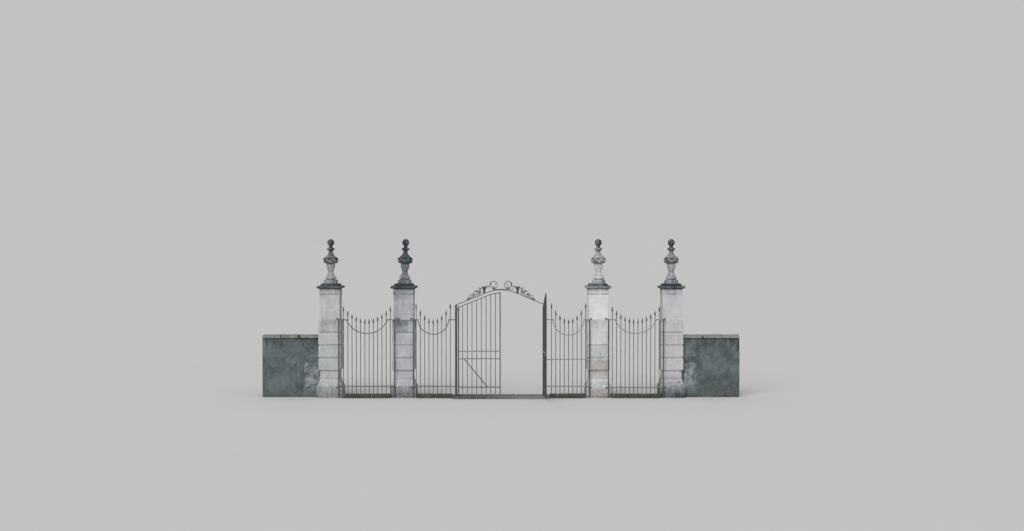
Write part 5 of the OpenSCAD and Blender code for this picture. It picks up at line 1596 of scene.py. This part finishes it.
def build_leaf(name, place, seed):
    M = Mesh(place)
    x0, x1 = -AXIS_X + 0.010, -0.011
    low, lock0, lock1 = LEAF_RAILS
    # the right leaf takes the shaded copy of the paint: painted shade
    paint = IRON if name == "left_leaf" else IRON_SHADED
    # the lock rails are drawn paler than the bars: partly chalk, partly painted highlight
    for h, d, z, ch in ((0.034, 0.030, lock1, 0.95), (0.026, 0.028, lock0, 0.50), (0.026, 0.030, low, 0.05)):
        rail(M, x0, x1, z, h, d, BARS, seed=seed + int(z * 10), chalky=ch)
    rail(M, x0, x1, leaf_top, 0.0215, 0.0255, BARS, seed=seed + 40, grow=0.004, step=0.03)
    # heel: square, with a round journal in the collar and a pivot in the cup
    upright(M, -AXIS_X, 0.1005, 2.374, 0.0355, 0.0355, joints=LEAF_RAILS, seed=seed + 1, wob=0.0006, chamfer=0.12)
    revolve(M, -AXIS_X, 0, [(0.0175, 2.368), (0.0160, 2.376), (0.0155, 2.382), (0.0155, 2.408), (0.0160, 2.414), (0.0175, 2.420)], 24, rust=0.1, wear=0.9)
    upright(M, -AXIS_X, 2.4155, 2.4775, 0.0355, 0.0355, seed=seed + 2, wob=0.0, step=0.02, chamfer=0.12)
    revolve(M, -AXIS_X, 0, [(0.0100, 0.0745), (0.0118, 0.0775), (0.0119, 0.096), (0.0150, 0.102)], 20, rust=0.35, wear=0.6)
    # meeting stile with its knob
    upright(M, -0.022, 0.1005, 2.848, 0.0295, 0.0255, joints=LEAF_RAILS, seed=seed + 3, wob=0.0005)
    revolve(M, -0.022, 0, [(0.0120, 2.840), (0.0145, 2.846), (0.0110, 2.850)], 16, rust=0.1)
    ball(M, -0.022, 0, 2.860, 0.0148, 20, rust=0.06)
    for z in LEAF_RAILS:
        for s in (-1, 1):
            rivet(M, -AXIS_X, z, s * 0.0177, s, 0.0075, 0.004)
            rivet(M, -0.022, z, s * 0.0127, s, 0.0070, 0.0035)
        M.spot((-AXIS_X + 0.018, 0, z), (-0.037, 0, z))
    for x in (-AXIS_X + 0.019, -0.038):
        clip(M, x, leaf_top(x), 22.1 if x < -0.5 else 2, 0.016, 0.027, 0.030)
    M.build(f"iron_{name}_frame", paint, name, [f"{name}_frame"], sharp=45, forged=0.0006, seed=seed)
    M = Mesh(place)
    for i, x in enumerate(BARS):
        top = leaf_top(x)
        z = spots_near(LEAF_RAILS, 0.1005, top - 0.004, 0.07, (-0.02, 0.0, 0.02))
        z = np.sort(np.concatenate([z, [0.108, 0.116, 0.124]]))
        P = np.stack([np.full(len(z), x), 0 * z, z], 1)
        P[:, 0] += 0.0011 * noise(P, 0.45, seed + i)
        P[:, 1] += 0.0008 * noise(P, 0.45, seed + 9 + i)
        th = np.interp(z, [0.1005, 0.108, 0.116, 0.124], [0.18, 0.5, 0.82, 1.0]) * (1 + 0.02 * noise(P, 0.09, seed + 60 + i))
        rust = 0.30 * (1 - smooth(0.10, 0.40, z)) + 0.03
        sweep(M, P, 0.018 * th, 0.018 * th, chamfer=0.16, rust=rust)
        M.spot((x, 0, low - 0.013), (x, 0, low + 0.014), (x, 0, lock0 - 0.013), (x, 0, lock1 + 0.018), (x, 0, top - 0.012))
    M.build(f"iron_{name}_bars", paint, name, [f"{name}_bars"], sharp=45, forged=0.0006, seed=seed + 5)
    # stay across the lower part, on the near face, riveted to the bars
    M = Mesh(place)
    a, b = np.array([-0.985, lock0 - 0.013]), np.array([-0.370, low + 0.013])
    t = np.linspace(0.004, 0.996, 30)
    Q = a[None, :] + (b - a)[None, :] * t[:, None]
    P = np.stack([Q[:, 0], np.full(30, -0.0130), Q[:, 1]], 1)
    P[:, 1] -= 0.0010 * (0.5 + 0.5 * noise(P, 0.25, seed + 77))
    sweep(M, P, 0.0235, 0.0076, chamfer=0.14, rust=0.20)
    for x in BARS:
        if -0.96 < x < -0.39:
            k = (x - a[0]) / (b[0] - a[0])
            z = a[1] + k * (b[1] - a[1])
            rivet(M, x, z, -0.0170, -1, 0.0060, 0.0032)
            M.spot((x, -0.013, z - 0.012))
    M.build(f"iron_{name}_stay", FITTING, name, [f"{name}_stay"], sharp=45, forged=0.0005, seed=seed + 6)


build_leaf("left_leaf", left_place, 700)
build_leaf("right_leaf", right_place, 760)


def soft_box(M, lo, hi, c=0.003, **attrs):
    """A box with softened edges."""
    lo, hi = np.array(lo, float), np.array(hi, float)
    x = [lo[0], lo[0] + c, hi[0] - c, hi[0]]
    mid = (lo + hi) / 2
    P = [(q, mid[1], mid[2]) for q in x]
    d = hi - lo
    sweep(M, P, np.array([d[2] - 2 * c, d[2], d[2], d[2] - 2 * c]), np.array([d[1] - 2 * c, d[1], d[1], d[1] - 2 * c]),
          chamfer=min(0.2, c / min(d[1], d[2])), **attrs)


def build_lock():
    """Lock case between the lock rails, on the far face of the right leaf."""
    M = Mesh(right_place)
    x0, x1, z0, z1 = -0.187, -0.037, 1.0815, 1.2405
    y0, y1 = 0.0092, 0.0425
    soft_box(M, (x0 + 0.001, y0, z0 + 0.001), (x1 - 0.001, y1 - 0.003, z1 - 0.001), 0.003, rust=0.24)
    # plate on the case, with a raised border
    soft_box(M, (x0 + 0.006, y1 - 0.0045, z0 + 0.006), (x1 - 0.006, y1 - 0.0012, z1 - 0.006), 0.0012, rust=0.18)
    for a, b in (((x0 + 0.002, z0 + 0.002), (x1 - 0.002, z0 + 0.008)), ((x0 + 0.002, z1 - 0.008), (x1 - 0.002, z1 - 0.002)),
                 ((x0 + 0.002, z0 + 0.002), (x0 + 0.008, z1 - 0.002)), ((x1 - 0.008, z0 + 0.002), (x1 - 0.002, z1 - 0.002))):
        soft_box(M, (a[0], y1 - 0.006, a[1]), (b[0], y1, b[1]), 0.0012, rust=0.22)
    for x in (x0 + 0.014, (x0 + x1) / 2, x1 - 0.014):
        for z in (z0 + 0.014, z1 - 0.014):
            rivet(M, x, z, y1 - 0.0012, 1, 0.0045, 0.0022)
    # boss round the keyhole, and the key's slot with its swinging cover
    xb, zb = x1 - 0.060, (z0 + z1) / 2 - 0.030
    prof = [(0.0172, y1 - 0.004), (0.0170, y1 + 0.002), (0.0150, y1 + 0.0055), (0.0120, y1 + 0.0060), (0.0070, y1 + 0.0050), (0.0040, y1 + 0.0020)]
    revolve(M, xb, 0, prof, 28, "y", zb, rust=0.12, wear=0.35)
    sweep(M, [(xb, y1 + 0.0072, zb + 0.022), (xb, y1 + 0.0074, zb + 0.012), (xb + 0.001, y1 + 0.0074, zb - 0.002), (xb + 0.002, y1 + 0.0072, zb - 0.016)],
          [0.007, 0.010, 0.015, 0.006], 0.0028, rust=0.15, wear=0.4)
    rivet(M, xb, zb + 0.019, y1 + 0.0080, 1, 0.0042, 0.0024)
    # bolt and latch that come out through the meeting stile's side
    soft_box(M, (x1 - 0.010, y0 + 0.004, zb + 0.010), (x1 + 0.012, y0 + 0.020, zb + 0.036), 0.0020, rust=0.1, wear=0.8)
    soft_box(M, (x1 - 0.010, y0 + 0.005, zb + 0.058), (x1 + 0.008, y0 + 0.018, zb + 0.078), 0.0020, rust=0.1, wear=0.8)
    # a drop handle
    P = arc(x0 + 0.045, z1 - 0.052, 0.021, 0.021, 150, 390, 26, y=y1 + 0.004)
    sweep(M, P, 0.0058, 0.0058, sides=10, rust=0.08, wear=0.6)
    revolve(M, x0 + 0.045, 0, [(0.0085, y1 - 0.002), (0.0085, y1 + 0.001), (0.0062, y1 + 0.0055), (0.0040, y1 + 0.0078)], 18, "y", z1 - 0.040, rust=0.1, wear=0.4)
    M.build("iron_lock", FITTING, "right_leaf", ["right_leaf_lock"], sharp=40, forged=0.0004, seed=811)


def build_bolt():
    """Drop bolt in its staples, on the far face of the left leaf."""
    M = Mesh(left_place)
    x, y = -0.022, 0.025
    z = np.concatenate([[0.0845, 0.089], np.linspace(0.10, 0.838, 24), [0.843]])
    P = np.stack([np.full(len(z), x), np.full(len(z), y), z], 1)
    w = np.full(len(z), 0.0156)
    w[0], w[1], w[-1] = 0.009, 0.013, 0.013
    wear = np.clip(np.exp(-np.abs(z - 0.2) / 0.06) + np.exp(-np.abs(z - 0.65) / 0.06), 0, 0.8)
    sweep(M, P, w, w, sides=12, rust=0.25, wear=wear)
    revolve(M, x, y, [(0.0090, -0.0058), (0.0132, -0.0030), (0.0138, 0.0030), (0.0095, 0.0090), (0.0080, 0.0135), (0.0105, 0.0175),
                      (0.0136, 0.0205), (0.0130, 0.0228), (0.0070, 0.0239)], 20, "y", 0.840, rust=0.12, wear=0.5)
    for zc in (0.202, 0.652):
        pts = [(x - 0.0118, 0.0128, zc), (x - 0.0118, 0.0245, zc), (x - 0.0085, 0.0318, zc), (x, 0.0345, zc), (x + 0.0085, 0.0318, zc),
               (x + 0.0118, 0.0245, zc), (x + 0.0118, 0.0128, zc)]
        sweep(M, pts, 0.0034, 0.0230, ref=(0, 0, 1), chamfer=0.12, rust=0.3)
        M.spot((x, 0.013, zc))
    M.build("iron_bolt", FITTING, "left_leaf", ["left_leaf_bolt"], sharp=40, forged=0.0003, seed=821)


build_lock()
build_bolt()


# ------------------------------------------------------------------ stage, light, camera

def stage():
    me = bpy.data.meshes.new("floor")
    n, size = 24, 8000.0
    vs = [((i / n - 0.5) * size, (j / n - 0.5) * size, 0.0) for j in range(n + 1) for i in range(n + 1)]
    fs = [(j * (n + 1) + i, j * (n + 1) + i + 1, (j + 1) * (n + 1) + i + 1, (j + 1) * (n + 1) + i)
          for j in range(n) for i in range(n)]
    me.from_pydata(vs, [], fs)
    o = bpy.data.objects.new("floor", me)
    bpy.context.scene.collection.objects.link(o)
    m = Mat("floor_matte")
    v = m.obj()
    c = m.mix(m.noise(v, 0.6, 3, 0.5), (0.535, 0.535, 0.53), (0.55, 0.55, 0.545))
    me.materials.append(m.done(c, 0.95, None, 0.0, **{"Specular IOR Level": 0.1}))


stage()

world = bpy.data.worlds.new("studio")
bpy.context.scene.world = world
world.use_nodes = True
bg = world.node_tree.nodes["Background"]
bg.inputs["Color"].default_value = (0.985, 0.992, 1.0, 1.0)
bg.inputs["Strength"].default_value = 0.54


def sun(name, energy, angle, rot, color):
    d = bpy.data.lights.new(name, "SUN")
    d.energy = energy
    d.angle = math.radians(angle)
    d.color = color
    o = bpy.data.objects.new(name, d)
    o.rotation_euler = [math.radians(a) for a in rot]
    bpy.context.scene.collection.objects.link(o)


sun("key", 2.3, 50, (58, 0, -20), (1.0, 0.995, 0.985))
sun("fill", 0.35, 60, (50, 0, 50), (0.98, 0.99, 1.0))

cam_d = bpy.data.cameras.new("camera")
cam_d.lens = 50.0
cam_d.sensor_width = 36.0
cam_d.clip_end = 10000.0
cam = bpy.data.objects.new("camera", cam_d)
cam.location = (0.30, -38.4, 4.30)
cam.rotation_euler = (math.radians(90 - 1.07), 0, 0)
bpy.context.scene.collection.objects.link(cam)
bpy.context.scene.camera = cam
bpy.context.scene.view_settings.view_transform = "Standard"
